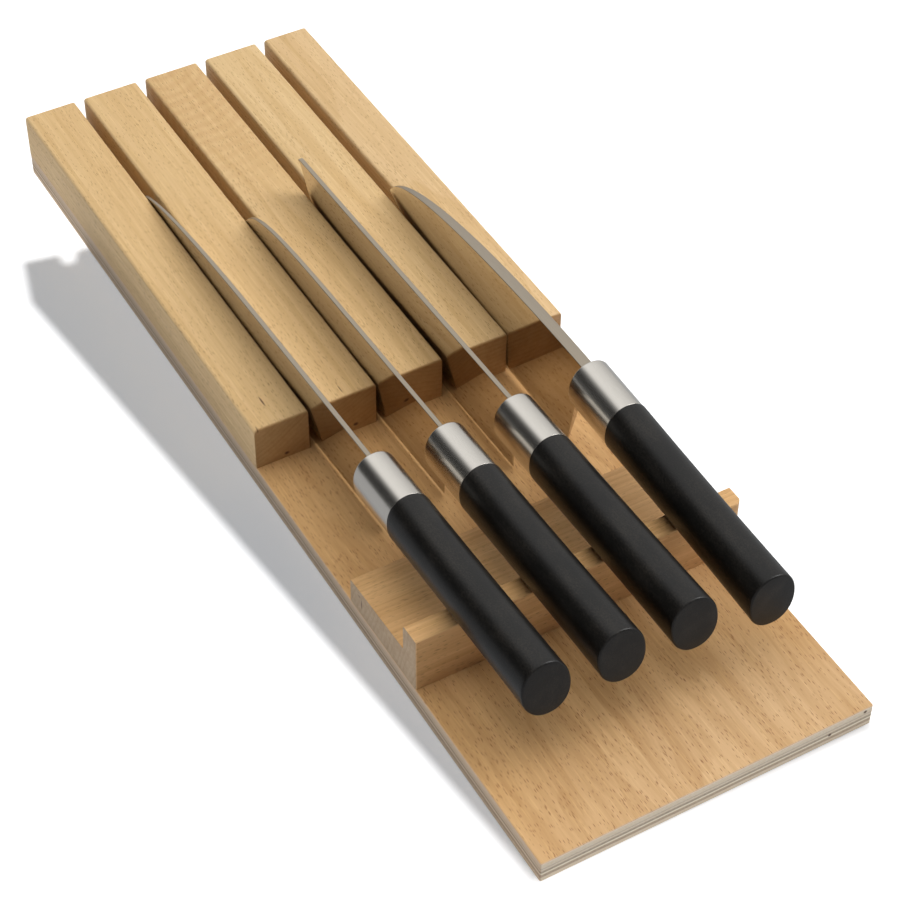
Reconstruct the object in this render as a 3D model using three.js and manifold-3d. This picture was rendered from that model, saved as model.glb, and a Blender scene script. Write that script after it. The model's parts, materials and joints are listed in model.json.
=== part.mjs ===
// Drawer knife block with four knives laid in it: a beech-faced plywood board, five beech
// battens that leave four blade slots between them, and a stepped bar that carries the
// handles. Millimetres, +Z up, +Y from the handles towards the blade tips, +X to the right
// as seen from the handles. The origin is the middle of the board's underside.

import * as THREE from 'three';
import { mergeVertices } from 'three/addons/utils/BufferGeometryUtils.js';
import Module from 'manifold-3d';

const wasm = await Module();
wasm.setup();

// Clearances
const SEAT_GAP = 0.3;        // handle over the lip, and cutting edge over the board
const FIT_GAP = 0.3;         // round a tang, a tenon or a screw

// Board
const BOARD_WIDTH = 150;
const BOARD_LENGTH = 475;
const BOARD_THICKNESS = 11;
const BOARD_CORNER_RADIUS = 0.8;
const BOARD_EASING = 0.3;

// Battens and slots
const BATTEN_HEIGHT = 22.2;
const BATTENS_FROM_REST = 84.3;    // room for the ferrules, from there on to the board's back
const BATTEN_ARRIS_RADIUS = 1.3;
const BATTEN_END_RADIUS = 0.9;
const SLOT_COUNT = 4;
const SLOT_PITCH = 32.3;
const SLOT_WIDTH = 4.9;
const SLOTS_SHIFT = 1.3;     // the row of slots lies this far right of the board's middle

// Handle rest: one bar with a low tread and a raised lip along its front
const REST_FROM_FRONT = 93.2;
const REST_DEPTH = 53.2;
const LIP_HEIGHT = 28.2;
const LIP_THICKNESS = 9.6;
const LIP_ARRIS_RADIUS = 0.9;
const TREAD_HEIGHT_AT_STEP = 14.6;
const TREAD_HEIGHT_AT_BACK = 12.6;
const TREAD_FILLET_RADIUS = 0.8;
const REST_LEFT_CORNER_RADIUS = 0.8;
const REST_RIGHT_CORNER_RADIUS = 3;

// Countersunk wood screws, driven up through the board
const SCREW_HEAD_RADIUS = 3.4;
const SCREW_HEAD_HEIGHT = 2.3;
const SCREW_HEAD_RECESS = 0.6;
const SCREW_SHANK_RADIUS = 1.75;
const SCREW_CORE_RADIUS = 1.35;
const SCREW_POINT_LENGTH = 3;
const BATTEN_SCREW_LENGTH = 25;
const BATTEN_SCREW_INSET = 38;
const REST_SCREW_LENGTH = 20;
const REST_SCREW_COUNT = 3;
const REST_SCREW_INSET = 22;

// Handles and ferrules, alike on all four knives
const OVAL_POWER = 2.15;     // 2 would be a true ellipse
const FERRULE_LENGTH = 28.8;
const FERRULE_HALF_WIDTH = 9.9;
const FERRULE_HALF_HEIGHT = 12.2;
const FERRULE_WALL = 1.2;
const FERRULE_END_WALL = 2.4;
const FERRULE_RIM_RADIUS = 1.2;
const HANDLE_LENGTH = 104;
const HANDLE_STEP = 0.25;    // the grip stands this far proud of the ferrule
const HANDLE_BUTT_HALF_WIDTH = 10.5;
const HANDLE_BUTT_HALF_HEIGHT = 12.1;
const HANDLE_WAIST = 1.05;   // taken off the half height midway along the grip
const HANDLE_BUTT_TILT = THREE.MathUtils.degToRad(7.5);
const HANDLE_RIM_RADIUS = 0.9;

// Blades
const TANG_HALF_HEIGHT = 6;
const TANG_END_HALF_HEIGHT = 4;
const TANG_REACH = 62;       // behind the joint of ferrule and grip
const TANG_SHARE = 0.6;      // of the blade's spine thickness
const TANG_LAP = 6;          // how far the tang runs into the blade
const BEVEL_HEIGHT = 1.5;
const EDGE_THICKNESS = 0.2;
const SPINE_EASING = 0.25;
const TIP_HEIGHT = 0.6;

// Each knife's own sizes. `lean` tips the spine to the left, `wallGap` is left between the
// blade and its slot's left wall at the battens' top, and `setBack` is how far the joint of
// ferrule and grip lies in front of the rest's back face. Lengths of a blade run forward from
// the ferrule's front face and heights up from the handle's axis. Spine and edge leave their
// straight stretch by `reach` and come into the tip from `tipPull` behind and above it. The
// blade thins from spine to tip thickness by the power `taper` of the way along.
const KNIVES = [
  {
    name: 'knife_1',
    lean: THREE.MathUtils.degToRad(3.9),
    wallGap: 0.2,
    setBack: 3.2,
    spineThickness: 2.2,
    tipThickness: 1.3,
    taper: 3,
    tip: new THREE.Vector2(223.5, -5.2),
    spine: { height: 8.5, start: 0.3, end: 95, reach: 55, tipPull: new THREE.Vector2(-23.5, 9.7) },
    edge: { height: -30.9, start: 3.4, end: 92, reach: 65, tipPull: new THREE.Vector2(-20, -16) },
  },
  {
    name: 'knife_2',
    lean: THREE.MathUtils.degToRad(2.9),
    wallGap: 0.3,
    setBack: 3.2,
    spineThickness: 2.1,
    tipThickness: 1.5,
    taper: 3,
    tip: new THREE.Vector2(190.5, -24),
    spine: { height: 8.7, start: 0.3, end: 70, reach: 88, tipPull: new THREE.Vector2(-6.5, 32) },
    edge: { height: -32.5, start: 7.8, end: 78, reach: 40, tipPull: new THREE.Vector2(-25, -6) },
  },
  {
    name: 'knife_3',
    lean: THREE.MathUtils.degToRad(3.6),
    wallGap: 0.5,
    setBack: 3.1,
    spineThickness: 2.2,
    tipThickness: 2,
    taper: 3,
    tip: new THREE.Vector2(189.6, 8.2),
    spine: { height: 8.9, start: 0.3, end: 186, reach: 2, tipPull: new THREE.Vector2(-0.5, 0.4) },
    edge: { height: -32.7, start: 6.8, end: 150, reach: 28, tipPull: new THREE.Vector2(-3, -20) },
  },
  {
    name: 'knife_4',
    lean: THREE.MathUtils.degToRad(-0.4),
    wallGap: 0.85,
    setBack: 5,
    spineThickness: 5.3,
    tipThickness: 1.2,
    taper: 4.5,
    tip: new THREE.Vector2(168, -24),
    spine: { height: 8.2, start: 0.3, end: 3, reach: 15, tipPull: new THREE.Vector2(-16, 29.4) },
    edge: { height: -42.6, start: 8.7, end: 55, reach: 36, tipPull: new THREE.Vector2(-8.6, -9.4) },
  },
];

// Fineness of the curved surfaces
const OVAL_SIDES = 32;
const GRIP_STATIONS = 12;
const BLADE_STATIONS = 40;
const ROUND_SIDES = 12;
const CORNER_SIDES = 3;

// Places that follow from the sizes above
const BOARD_BACK = BOARD_LENGTH / 2;
const REST_FRONT = REST_FROM_FRONT - BOARD_LENGTH / 2;
const REST_BACK = REST_FRONT + REST_DEPTH;
const BATTEN_TOP = BOARD_THICKNESS + BATTEN_HEIGHT;
const BATTEN_FRONT = REST_BACK + BATTENS_FROM_REST;
const BATTEN_LENGTH = BOARD_BACK - BATTEN_FRONT;
const LIP_TOP = BOARD_THICKNESS + LIP_HEIGHT;

// Turns for outlines: drawn from the side as (along, up), or from the end as (across, up)
const SIDE_ON = new THREE.Matrix4().makeBasis(
  new THREE.Vector3(0, 1, 0), new THREE.Vector3(0, 0, 1), new THREE.Vector3(1, 0, 0));
const END_ON = new THREE.Matrix4().makeBasis(
  new THREE.Vector3(1, 0, 0), new THREE.Vector3(0, 0, 1), new THREE.Vector3(0, -1, 0));

const BEECH = new THREE.MeshStandardMaterial({ color: 0xd9b27c, roughness: 0.55, metalness: 0 });
const PLYWOOD = new THREE.MeshStandardMaterial({ color: 0xd2a56c, roughness: 0.55, metalness: 0 });
const BLADE_STEEL = new THREE.MeshStandardMaterial({ color: 0xc9c6bf, roughness: 0.18, metalness: 1 });
const SATIN_STEEL = new THREE.MeshStandardMaterial({ color: 0xbdbab4, roughness: 0.35, metalness: 1 });
const BLACK_GRIP = new THREE.MeshStandardMaterial({ color: 0x232220, roughness: 0.6, metalness: 0 });
const ZINC_STEEL = new THREE.MeshStandardMaterial({ color: 0x9a9a96, roughness: 0.4, metalness: 1 });

function mesh(name, geometry, material) {
  const result = new THREE.Mesh(geometry, material);
  result.name = name;
  return result;
}

// Joins and cuts
function toSolid(geometry) {
  const bare = geometry.clone();
  bare.deleteAttribute('normal');
  bare.deleteAttribute('uv');
  const merged = mergeVertices(bare, 1e-4);
  return new wasm.Manifold(new wasm.Mesh({
    numProp: 3,
    vertProperties: new Float32Array(merged.attributes.position.array),
    triVerts: new Uint32Array(merged.index.array),
  }));
}

function toGeometry(solid) {
  const shape = solid.getMesh();
  const geometry = new THREE.BufferGeometry();
  geometry.setAttribute('position', new THREE.BufferAttribute(new Float32Array(shape.vertProperties), 3));
  geometry.setIndex(new THREE.BufferAttribute(new Uint32Array(shape.triVerts), 1));
  geometry.computeVertexNormals();
  return geometry;
}

function cut(geometry, tools) {
  return toGeometry(tools.reduce((solid, tool) => solid.subtract(toSolid(tool)), toSolid(geometry)));
}

function join(first, second) {
  return toGeometry(toSolid(first).add(toSolid(second)));
}

function intersect(first, second) {
  return toGeometry(toSolid(first).intersect(toSolid(second)));
}

// Outlines
function roundedRectangle(left, bottom, right, top, radii) {
  const [lowerLeft, lowerRight, upperRight, upperLeft] = radii;
  const shape = new THREE.Shape();
  shape.moveTo(left + lowerLeft, bottom);
  shape.lineTo(right - lowerRight, bottom);
  if (lowerRight) shape.absarc(right - lowerRight, bottom + lowerRight, lowerRight, -Math.PI / 2, 0);
  shape.lineTo(right, top - upperRight);
  if (upperRight) shape.absarc(right - upperRight, top - upperRight, upperRight, 0, Math.PI / 2);
  shape.lineTo(left + upperLeft, top);
  if (upperLeft) shape.absarc(left + upperLeft, top - upperLeft, upperLeft, Math.PI / 2, Math.PI);
  shape.lineTo(left, bottom + lowerLeft);
  if (lowerLeft) shape.absarc(left + lowerLeft, bottom + lowerLeft, lowerLeft, Math.PI, 1.5 * Math.PI);
  return shape;
}

function extrude(shape, depth) {
  return new THREE.ExtrudeGeometry(shape, { depth, bevelEnabled: false, curveSegments: CORNER_SIDES });
}

// A side outline as a slab of the given thickness, centred across the piece
function sideSlab(shape, thickness) {
  return extrude(shape, thickness).translate(0, 0, -thickness / 2).applyMatrix4(SIDE_ON);
}

// A closed skin over a row of rings that follow each other along +Y, each one turning from
// +X towards +Z, with a fan from the ring's middle over both ends
function loft(rings) {
  const count = rings[0].length;
  const middles = [rings[0], rings.at(-1)].map((ring) => {
    return ring.reduce((sum, point) => sum.add(point), new THREE.Vector3()).divideScalar(count);
  });
  const geometry = new THREE.BufferGeometry().setFromPoints([...rings.flat(), ...middles]);
  const firstMiddle = rings.length * count;
  const lastRing = (rings.length - 1) * count;
  const index = [];
  for (let side = 0; side < count; side += 1) {
    const next = (side + 1) % count;
    for (let row = 0; row < lastRing; row += count) {
      index.push(row + side, row + count + side, row + next);
      index.push(row + next, row + count + side, row + count + next);
    }
    index.push(firstMiddle, side, next);
    index.push(firstMiddle + 1, lastRing + next, lastRing + side);
  }
  geometry.setIndex(index);
  return geometry;
}

// One ring of a rounded oval across the knife; a tilt carries its top forward
function ovalRing(along, halfWidth, halfHeight, tilt = 0) {
  const ring = [];
  for (let side = 0; side < OVAL_SIDES; side += 1) {
    const angle = 2 * Math.PI * side / OVAL_SIDES;
    const across = Math.cos(angle);
    const up = Math.sin(angle);
    const swell = (Math.abs(across) ** OVAL_POWER + Math.abs(up) ** OVAL_POWER) ** (-1 / OVAL_POWER);
    const height = halfHeight * swell * up;
    ring.push(new THREE.Vector3(halfWidth * swell * across, along + height * Math.tan(tilt), height));
  }
  return ring;
}

function ovalBar(from, to, halfWidth, halfHeight) {
  return loft([ovalRing(from, halfWidth, halfHeight), ovalRing(to, halfWidth, halfHeight)]);
}

// Board, battens and handle rest
function boardScrewPlaces() {
  const places = [];
  for (const batten of battenSpans()) {
    for (const y of [BATTEN_FRONT + BATTEN_SCREW_INSET, BOARD_BACK - BATTEN_SCREW_INSET]) {
      const number = places.length + 1;
      places.push({ name: `batten_screw_${number}`, x: batten.middle, y, length: BATTEN_SCREW_LENGTH });
    }
  }
  const treadMiddle = (REST_FRONT + LIP_THICKNESS + REST_BACK) / 2;
  const span = BOARD_WIDTH - 2 * REST_SCREW_INSET;
  for (let i = 0; i < REST_SCREW_COUNT; i += 1) {
    const x = -span / 2 + span * i / (REST_SCREW_COUNT - 1);
    places.push({ name: `rest_screw_${i + 1}`, x, y: treadMiddle, length: REST_SCREW_LENGTH });
  }
  return places;
}

function slotMiddle(number) {
  return SLOTS_SHIFT + (number - (SLOT_COUNT - 1) / 2) * SLOT_PITCH;
}

function battenSpans() {
  const spans = [];
  let left = -BOARD_WIDTH / 2;
  for (let i = 0; i <= SLOT_COUNT; i += 1) {
    const right = i < SLOT_COUNT ? slotMiddle(i) - SLOT_WIDTH / 2 : BOARD_WIDTH / 2;
    spans.push({ name: `batten_${i + 1}`, middle: (left + right) / 2, width: right - left });
    left = right + SLOT_WIDTH;
  }
  return spans;
}

// The screw stands on its head with its point up. The same form, grown by a clearance and
// run out below the board, drills its hole.
function screwForm(length, clearance, runOut) {
  const head = SCREW_HEAD_RADIUS + clearance;
  const shank = SCREW_SHANK_RADIUS + clearance;
  const core = SCREW_CORE_RADIUS + clearance;
  const shankEnd = BOARD_THICKNESS - SCREW_HEAD_RECESS;
  const outline = [
    new THREE.Vector2(0, -runOut),
    new THREE.Vector2(head, -runOut),
    new THREE.Vector2(shank, SCREW_HEAD_HEIGHT),
    new THREE.Vector2(shank, shankEnd),
    new THREE.Vector2(core, shankEnd),
    new THREE.Vector2(core, length - SCREW_POINT_LENGTH),
    new THREE.Vector2(0, length + clearance),
  ];
  if (runOut) outline.splice(2, 0, new THREE.Vector2(head, 0));
  return new THREE.LatheGeometry(outline, ROUND_SIDES).rotateX(Math.PI / 2);
}

function screwHole(place) {
  const drill = screwForm(place.length, FIT_GAP, 2 * SCREW_HEAD_RECESS);
  return drill.translate(place.x, place.y, SCREW_HEAD_RECESS);
}

function screw(place) {
  const result = mesh(place.name, screwForm(place.length, 0, 0), ZINC_STEEL);
  result.position.set(place.x, place.y, SCREW_HEAD_RECESS);
  return result;
}

function baseBoard(holes) {
  const halfWidth = BOARD_WIDTH / 2;
  const halfLength = BOARD_LENGTH / 2;
  const plan = roundedRectangle(
    -halfWidth, -halfLength, halfWidth, halfLength, Array(4).fill(BOARD_CORNER_RADIUS));
  const panel = new THREE.ExtrudeGeometry(plan, {
    depth: BOARD_THICKNESS - 2 * BOARD_EASING,
    bevelThickness: BOARD_EASING,
    bevelSize: BOARD_EASING,
    bevelOffset: -BOARD_EASING,
    bevelSegments: 1,
    curveSegments: CORNER_SIDES,
  });
  panel.translate(0, 0, BOARD_EASING);
  return mesh('base_board', cut(panel, holes), PLYWOOD);
}

function batten(span, holes) {
  const halfWidth = span.width / 2;
  const section = roundedRectangle(
    -halfWidth, 0, halfWidth, BATTEN_HEIGHT, [0, 0, BATTEN_ARRIS_RADIUS, BATTEN_ARRIS_RADIUS]);
  const bar = extrude(section, BATTEN_LENGTH).applyMatrix4(END_ON).translate(0, BATTEN_LENGTH, 0);
  const side = roundedRectangle(
    0, 0, BATTEN_LENGTH, BATTEN_HEIGHT, [0, 0, BATTEN_END_RADIUS, BATTEN_END_RADIUS]);
  const eased = intersect(bar, sideSlab(side, 2 * span.width));
  const place = new THREE.Vector3(span.middle, BATTEN_FRONT, BOARD_THICKNESS);
  const drills = holes.map((hole) => hole.clone().translate(-place.x, -place.y, -place.z));
  const result = mesh(span.name, cut(eased, drills), BEECH);
  result.position.copy(place);
  return result;
}

function handleRest(holes) {
  const outline = new THREE.Shape();
  const arris = LIP_ARRIS_RADIUS;
  const fillet = TREAD_FILLET_RADIUS;
  outline.moveTo(0, 0);
  outline.lineTo(REST_DEPTH, 0);
  outline.lineTo(REST_DEPTH, TREAD_HEIGHT_AT_BACK - arris);
  outline.quadraticCurveTo(REST_DEPTH, TREAD_HEIGHT_AT_BACK, REST_DEPTH - arris, TREAD_HEIGHT_AT_BACK);
  outline.lineTo(LIP_THICKNESS + fillet, TREAD_HEIGHT_AT_STEP);
  outline.quadraticCurveTo(
    LIP_THICKNESS, TREAD_HEIGHT_AT_STEP, LIP_THICKNESS, TREAD_HEIGHT_AT_STEP + fillet);
  outline.lineTo(LIP_THICKNESS, LIP_HEIGHT - arris);
  outline.absarc(LIP_THICKNESS - arris, LIP_HEIGHT - arris, arris, 0, Math.PI / 2);
  outline.lineTo(arris, LIP_HEIGHT);
  outline.absarc(arris, LIP_HEIGHT - arris, arris, Math.PI / 2, Math.PI);
  const bar = sideSlab(outline, BOARD_WIDTH);
  const halfWidth = BOARD_WIDTH / 2;
  const plan = roundedRectangle(
    -halfWidth, 0, halfWidth, REST_DEPTH, [REST_LEFT_CORNER_RADIUS, REST_RIGHT_CORNER_RADIUS, 0, 0]);
  const cornered = intersect(bar, extrude(plan, LIP_HEIGHT));
  const drills = holes.map((hole) => hole.clone().translate(0, -REST_FRONT, -BOARD_THICKNESS));
  const result = mesh('handle_rest', cut(cornered, drills), BEECH);
  result.position.set(0, REST_FRONT, BOARD_THICKNESS);
  return result;
}

// Knife pieces. Each one is drawn with the joint of ferrule and grip at its origin, the
// blade towards +Y and the spine up.
function gripHalfHeight(along) {
  const share = -along / HANDLE_LENGTH;
  const straight = THREE.MathUtils.lerp(FERRULE_HALF_HEIGHT + HANDLE_STEP, HANDLE_BUTT_HALF_HEIGHT, share);
  return straight - HANDLE_WAIST * 4 * share * (1 - share);
}

function gripHalfWidth(along) {
  const share = -along / HANDLE_LENGTH;
  return THREE.MathUtils.lerp(FERRULE_HALF_WIDTH + HANDLE_STEP, HANDLE_BUTT_HALF_WIDTH, share);
}

function gripRings() {
  const rings = [];
  for (let step = 0; step <= CORNER_SIDES; step += 1) {
    const turn = Math.PI / 2 * step / CORNER_SIDES;
    const along = -HANDLE_LENGTH + HANDLE_RIM_RADIUS * (1 - Math.sin(turn));
    const inset = HANDLE_RIM_RADIUS * (1 - Math.cos(Math.PI / 2 - turn));
    const halfWidth = gripHalfWidth(along) - inset;
    rings.push(ovalRing(along, halfWidth, gripHalfHeight(along) - inset, HANDLE_BUTT_TILT));
  }
  const start = -HANDLE_LENGTH + HANDLE_RIM_RADIUS;
  for (let station = 1; station <= GRIP_STATIONS; station += 1) {
    const share = station / GRIP_STATIONS;
    const along = start * (1 - share) - FIT_GAP * share;
    const tilt = HANDLE_BUTT_TILT * (1 - share);
    rings.push(ovalRing(along, gripHalfWidth(along), gripHalfHeight(along), tilt));
  }
  return rings;
}

function tangOutline(gap) {
  const front = FERRULE_LENGTH + TANG_LAP;
  const shape = new THREE.Shape();
  shape.moveTo(-TANG_REACH - gap, -TANG_END_HALF_HEIGHT - gap);
  shape.lineTo(front, -TANG_HALF_HEIGHT - gap);
  shape.lineTo(front, TANG_HALF_HEIGHT + gap);
  shape.lineTo(-TANG_REACH - gap, TANG_END_HALF_HEIGHT + gap);
  return shape;
}

function tangSlab(knife, gap) {
  return sideSlab(tangOutline(gap), TANG_SHARE * knife.spineThickness + 2 * gap);
}

function handle(knife) {
  const tenonEnd = FERRULE_LENGTH - FERRULE_END_WALL - FIT_GAP;
  const inset = FERRULE_WALL + FIT_GAP;
  const tenon = ovalBar(
    -HANDLE_RIM_RADIUS, tenonEnd, FERRULE_HALF_WIDTH - inset, FERRULE_HALF_HEIGHT - inset);
  const body = join(loft(gripRings()), tenon);
  return mesh(`${knife.name}_handle`, cut(body, [tangSlab(knife, FIT_GAP)]), BLACK_GRIP);
}

function ferrule(knife) {
  const rings = [ovalRing(0, FERRULE_HALF_WIDTH, FERRULE_HALF_HEIGHT)];
  for (let step = 0; step <= CORNER_SIDES; step += 1) {
    const turn = Math.PI / 2 * step / CORNER_SIDES;
    const along = FERRULE_LENGTH - FERRULE_RIM_RADIUS * (1 - Math.sin(turn));
    const inset = FERRULE_RIM_RADIUS * (1 - Math.cos(turn));
    rings.push(ovalRing(along, FERRULE_HALF_WIDTH - inset, FERRULE_HALF_HEIGHT - inset));
  }
  const bore = ovalBar(
    -FERRULE_WALL,
    FERRULE_LENGTH - FERRULE_END_WALL,
    FERRULE_HALF_WIDTH - FERRULE_WALL,
    FERRULE_HALF_HEIGHT - FERRULE_WALL);
  return mesh(`${knife.name}_ferrule`, cut(loft(rings), [bore, tangSlab(knife, FIT_GAP)]), SATIN_STEEL);
}

// One long side of the blade: a straight stretch, then a curve into the tip
function bladeLine(knife, line, tipOffset) {
  const base = new THREE.Vector2(FERRULE_LENGTH, 0);
  const start = new THREE.Vector2(line.start, line.height).add(base);
  const bend = new THREE.Vector2(line.end, line.height).add(base);
  const lead = new THREE.Vector2(line.reach, 0).add(bend);
  const tip = knife.tip.clone().add(base).add(new THREE.Vector2(0, tipOffset));
  const pull = tip.clone().add(line.tipPull);
  const path = new THREE.CurvePath();
  path.add(new THREE.LineCurve(start, bend));
  path.add(new THREE.CubicBezierCurve(bend, lead, pull, tip));
  return path;
}

// Spine and edge are joined by straight rulings. The section is a wedge with a ground bevel
// along the cutting edge and eased corners along the spine.
function bladeRing(knife, edgePoint, spinePoint, share) {
  const height = edgePoint.distanceTo(spinePoint);
  const half = THREE.MathUtils.lerp(knife.spineThickness, knife.tipThickness, share ** knife.taper) / 2;
  const bevel = Math.min(BEVEL_HEIGHT / height, 0.4);
  const easing = Math.min(SPINE_EASING / height, 0.2);
  const halfEdge = EDGE_THICKNESS / 2;
  const rightSide = [
    [halfEdge, 0],
    [halfEdge + (half - halfEdge) * bevel * 3, bevel],
    [half, 1 - easing],
    [half - SPINE_EASING, 1],
  ];
  const leftSide = rightSide.map(([across, up]) => [-across, up]).reverse();
  return [...rightSide, ...leftSide].map(([across, up]) => {
    const point = edgePoint.clone().lerp(spinePoint, up);
    return new THREE.Vector3(across, point.x, point.y);
  });
}

function blade(knife) {
  const spine = bladeLine(knife, knife.spine, TIP_HEIGHT / 2);
  const edge = bladeLine(knife, knife.edge, -TIP_HEIGHT / 2);
  const rings = [];
  for (let station = 0; station <= BLADE_STATIONS; station += 1) {
    const share = station / BLADE_STATIONS;
    rings.push(bladeRing(knife, edge.getPointAt(share), spine.getPointAt(share), share));
  }
  return mesh(`${knife.name}_blade`, join(loft(rings), tangSlab(knife, 0)), BLADE_STEEL);
}

// A knife in its slot: the handle lies on the lip and the cutting edge meets the board. The
// pitch that does both is found by halving.
function lowestOf(group, points) {
  return Math.min(...points.map((point) => point.clone().applyMatrix4(group.matrix).z));
}

function gripUnderside() {
  const points = [];
  const jointToLip = REST_DEPTH - LIP_THICKNESS;
  for (let along = -jointToLip - LIP_THICKNESS; along <= LIP_THICKNESS - jointToLip; along += 1) {
    points.push(...ovalRing(along, gripHalfWidth(along), gripHalfHeight(along)));
  }
  return points;
}

function settle(group, knife) {
  const underside = gripUnderside();
  const edge = bladeLine(knife, knife.edge, -TIP_HEIGHT / 2).getSpacedPoints(BLADE_STATIONS);
  const edgePoints = edge.map((point) => new THREE.Vector3(0, point.x, point.y));
  let low = THREE.MathUtils.degToRad(-15);
  let high = THREE.MathUtils.degToRad(25);
  for (let turn = 0; turn < 40; turn += 1) {
    const pitch = (low + high) / 2;
    group.rotation.set(-pitch, -knife.lean, 0, 'YXZ');
    group.position.z = 0;
    group.updateMatrix();
    group.position.z = LIP_TOP + SEAT_GAP - lowestOf(group, underside);
    group.updateMatrix();
    if (lowestOf(group, edgePoints) > BOARD_THICKNESS + SEAT_GAP) low = pitch;
    else high = pitch;
  }
}

// Half the wedge's thickness at the battens' top, where the cutting edge is on the board
function halfThicknessInSlot(knife) {
  return knife.spineThickness / 2 * BATTEN_HEIGHT / (knife.spine.height - knife.edge.height);
}

function laidKnife(knife, number) {
  const group = new THREE.Group();
  settle(group, knife);
  const leftWall = slotMiddle(number) - SLOT_WIDTH / 2;
  const bladeMiddle = leftWall + knife.wallGap + halfThicknessInSlot(knife);
  group.position.x = bladeMiddle - (group.position.z - BATTEN_TOP) * Math.tan(knife.lean);
  group.position.y = REST_BACK - knife.setBack;
  group.add(blade(knife), ferrule(knife), handle(knife));
  return group;
}

function knifeBlock() {
  const block = new THREE.Group();
  const places = boardScrewPlaces();
  const holes = places.map(screwHole);
  block.add(baseBoard(holes));
  battenSpans().forEach((span, i) => block.add(batten(span, holes.slice(2 * i, 2 * i + 2))));
  block.add(handleRest(holes.slice(-REST_SCREW_COUNT)));
  places.forEach((place) => block.add(screw(place)));
  KNIVES.forEach((knife, number) => block.add(laidKnife(knife, number)));
  return block;
}

const knifeBlockGroup = knifeBlock();
export default knifeBlockGroup;
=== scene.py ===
"""Looks of the drawer knife block: beech battens and bar on a plywood board, with four knives.

Lengths are millimetres, and meshes are written in metres. +Y runs along the board from the
handles towards the blade tips, +X to the right as seen from the handles, +Z up.
"""

import json
import logging
from dataclasses import dataclass, field
from enum import Enum
from typing import Sequence

import bpy
import numpy as np
from mathutils import Matrix, Vector

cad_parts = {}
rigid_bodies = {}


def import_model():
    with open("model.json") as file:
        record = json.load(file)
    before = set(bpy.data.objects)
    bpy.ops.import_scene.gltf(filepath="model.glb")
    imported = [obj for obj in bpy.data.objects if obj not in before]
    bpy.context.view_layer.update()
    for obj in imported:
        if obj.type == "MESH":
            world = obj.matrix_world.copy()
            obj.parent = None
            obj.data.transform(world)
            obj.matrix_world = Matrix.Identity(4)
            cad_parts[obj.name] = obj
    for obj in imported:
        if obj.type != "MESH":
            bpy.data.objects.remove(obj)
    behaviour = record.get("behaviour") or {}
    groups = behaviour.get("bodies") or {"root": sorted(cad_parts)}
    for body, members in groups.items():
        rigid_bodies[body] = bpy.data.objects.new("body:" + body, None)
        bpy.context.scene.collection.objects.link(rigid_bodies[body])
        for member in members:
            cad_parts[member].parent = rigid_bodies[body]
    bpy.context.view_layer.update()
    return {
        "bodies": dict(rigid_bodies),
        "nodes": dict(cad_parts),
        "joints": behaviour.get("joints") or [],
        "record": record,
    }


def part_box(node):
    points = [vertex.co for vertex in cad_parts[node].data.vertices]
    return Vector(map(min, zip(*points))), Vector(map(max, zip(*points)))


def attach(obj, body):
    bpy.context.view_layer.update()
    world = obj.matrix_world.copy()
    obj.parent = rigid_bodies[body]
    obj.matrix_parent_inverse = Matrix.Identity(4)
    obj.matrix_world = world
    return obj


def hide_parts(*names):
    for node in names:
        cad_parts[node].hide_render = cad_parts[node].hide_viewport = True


MM = 0.001
LOG = logging.getLogger("knife_block")

Color = Point = tuple[float, float, float]
Value = object
Inputs = dict[str | int, Value]
Socket, Material, Object = bpy.types.NodeSocket, bpy.types.Material, bpy.types.Object
Outputs = bpy.types.bpy_prop_collection
NUMBER, TINT, PLACE = "NodeSocketFloat", "NodeSocketColor", "NodeSocketVector"
WHITE = (1.0, 1.0, 1.0)


class Axis(Enum):
    """The way the grain of a piece runs."""

    ALONG_X = 0
    ALONG_Y = 1


class Slot(Enum):
    """Material slots of the record."""

    PLYWOOD = "plywood"
    BEECH = "beech"
    BLADE = "blade_steel"
    FERRULE = "ferrule_steel"
    GRIP = "black_grip"
    SCREW = "screw_steel"


# ---------------------------------------------------------------- meshes


def add_object(name: str, data: bpy.types.ID) -> Object:
    """Adds an object to the scene.

    Args:
        name: Its name.
        data: Its mesh, camera or lamp.

    Returns:
        The object.
    """
    made = bpy.data.objects.new(name, data)
    bpy.context.scene.collection.objects.link(made)
    return made


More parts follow.
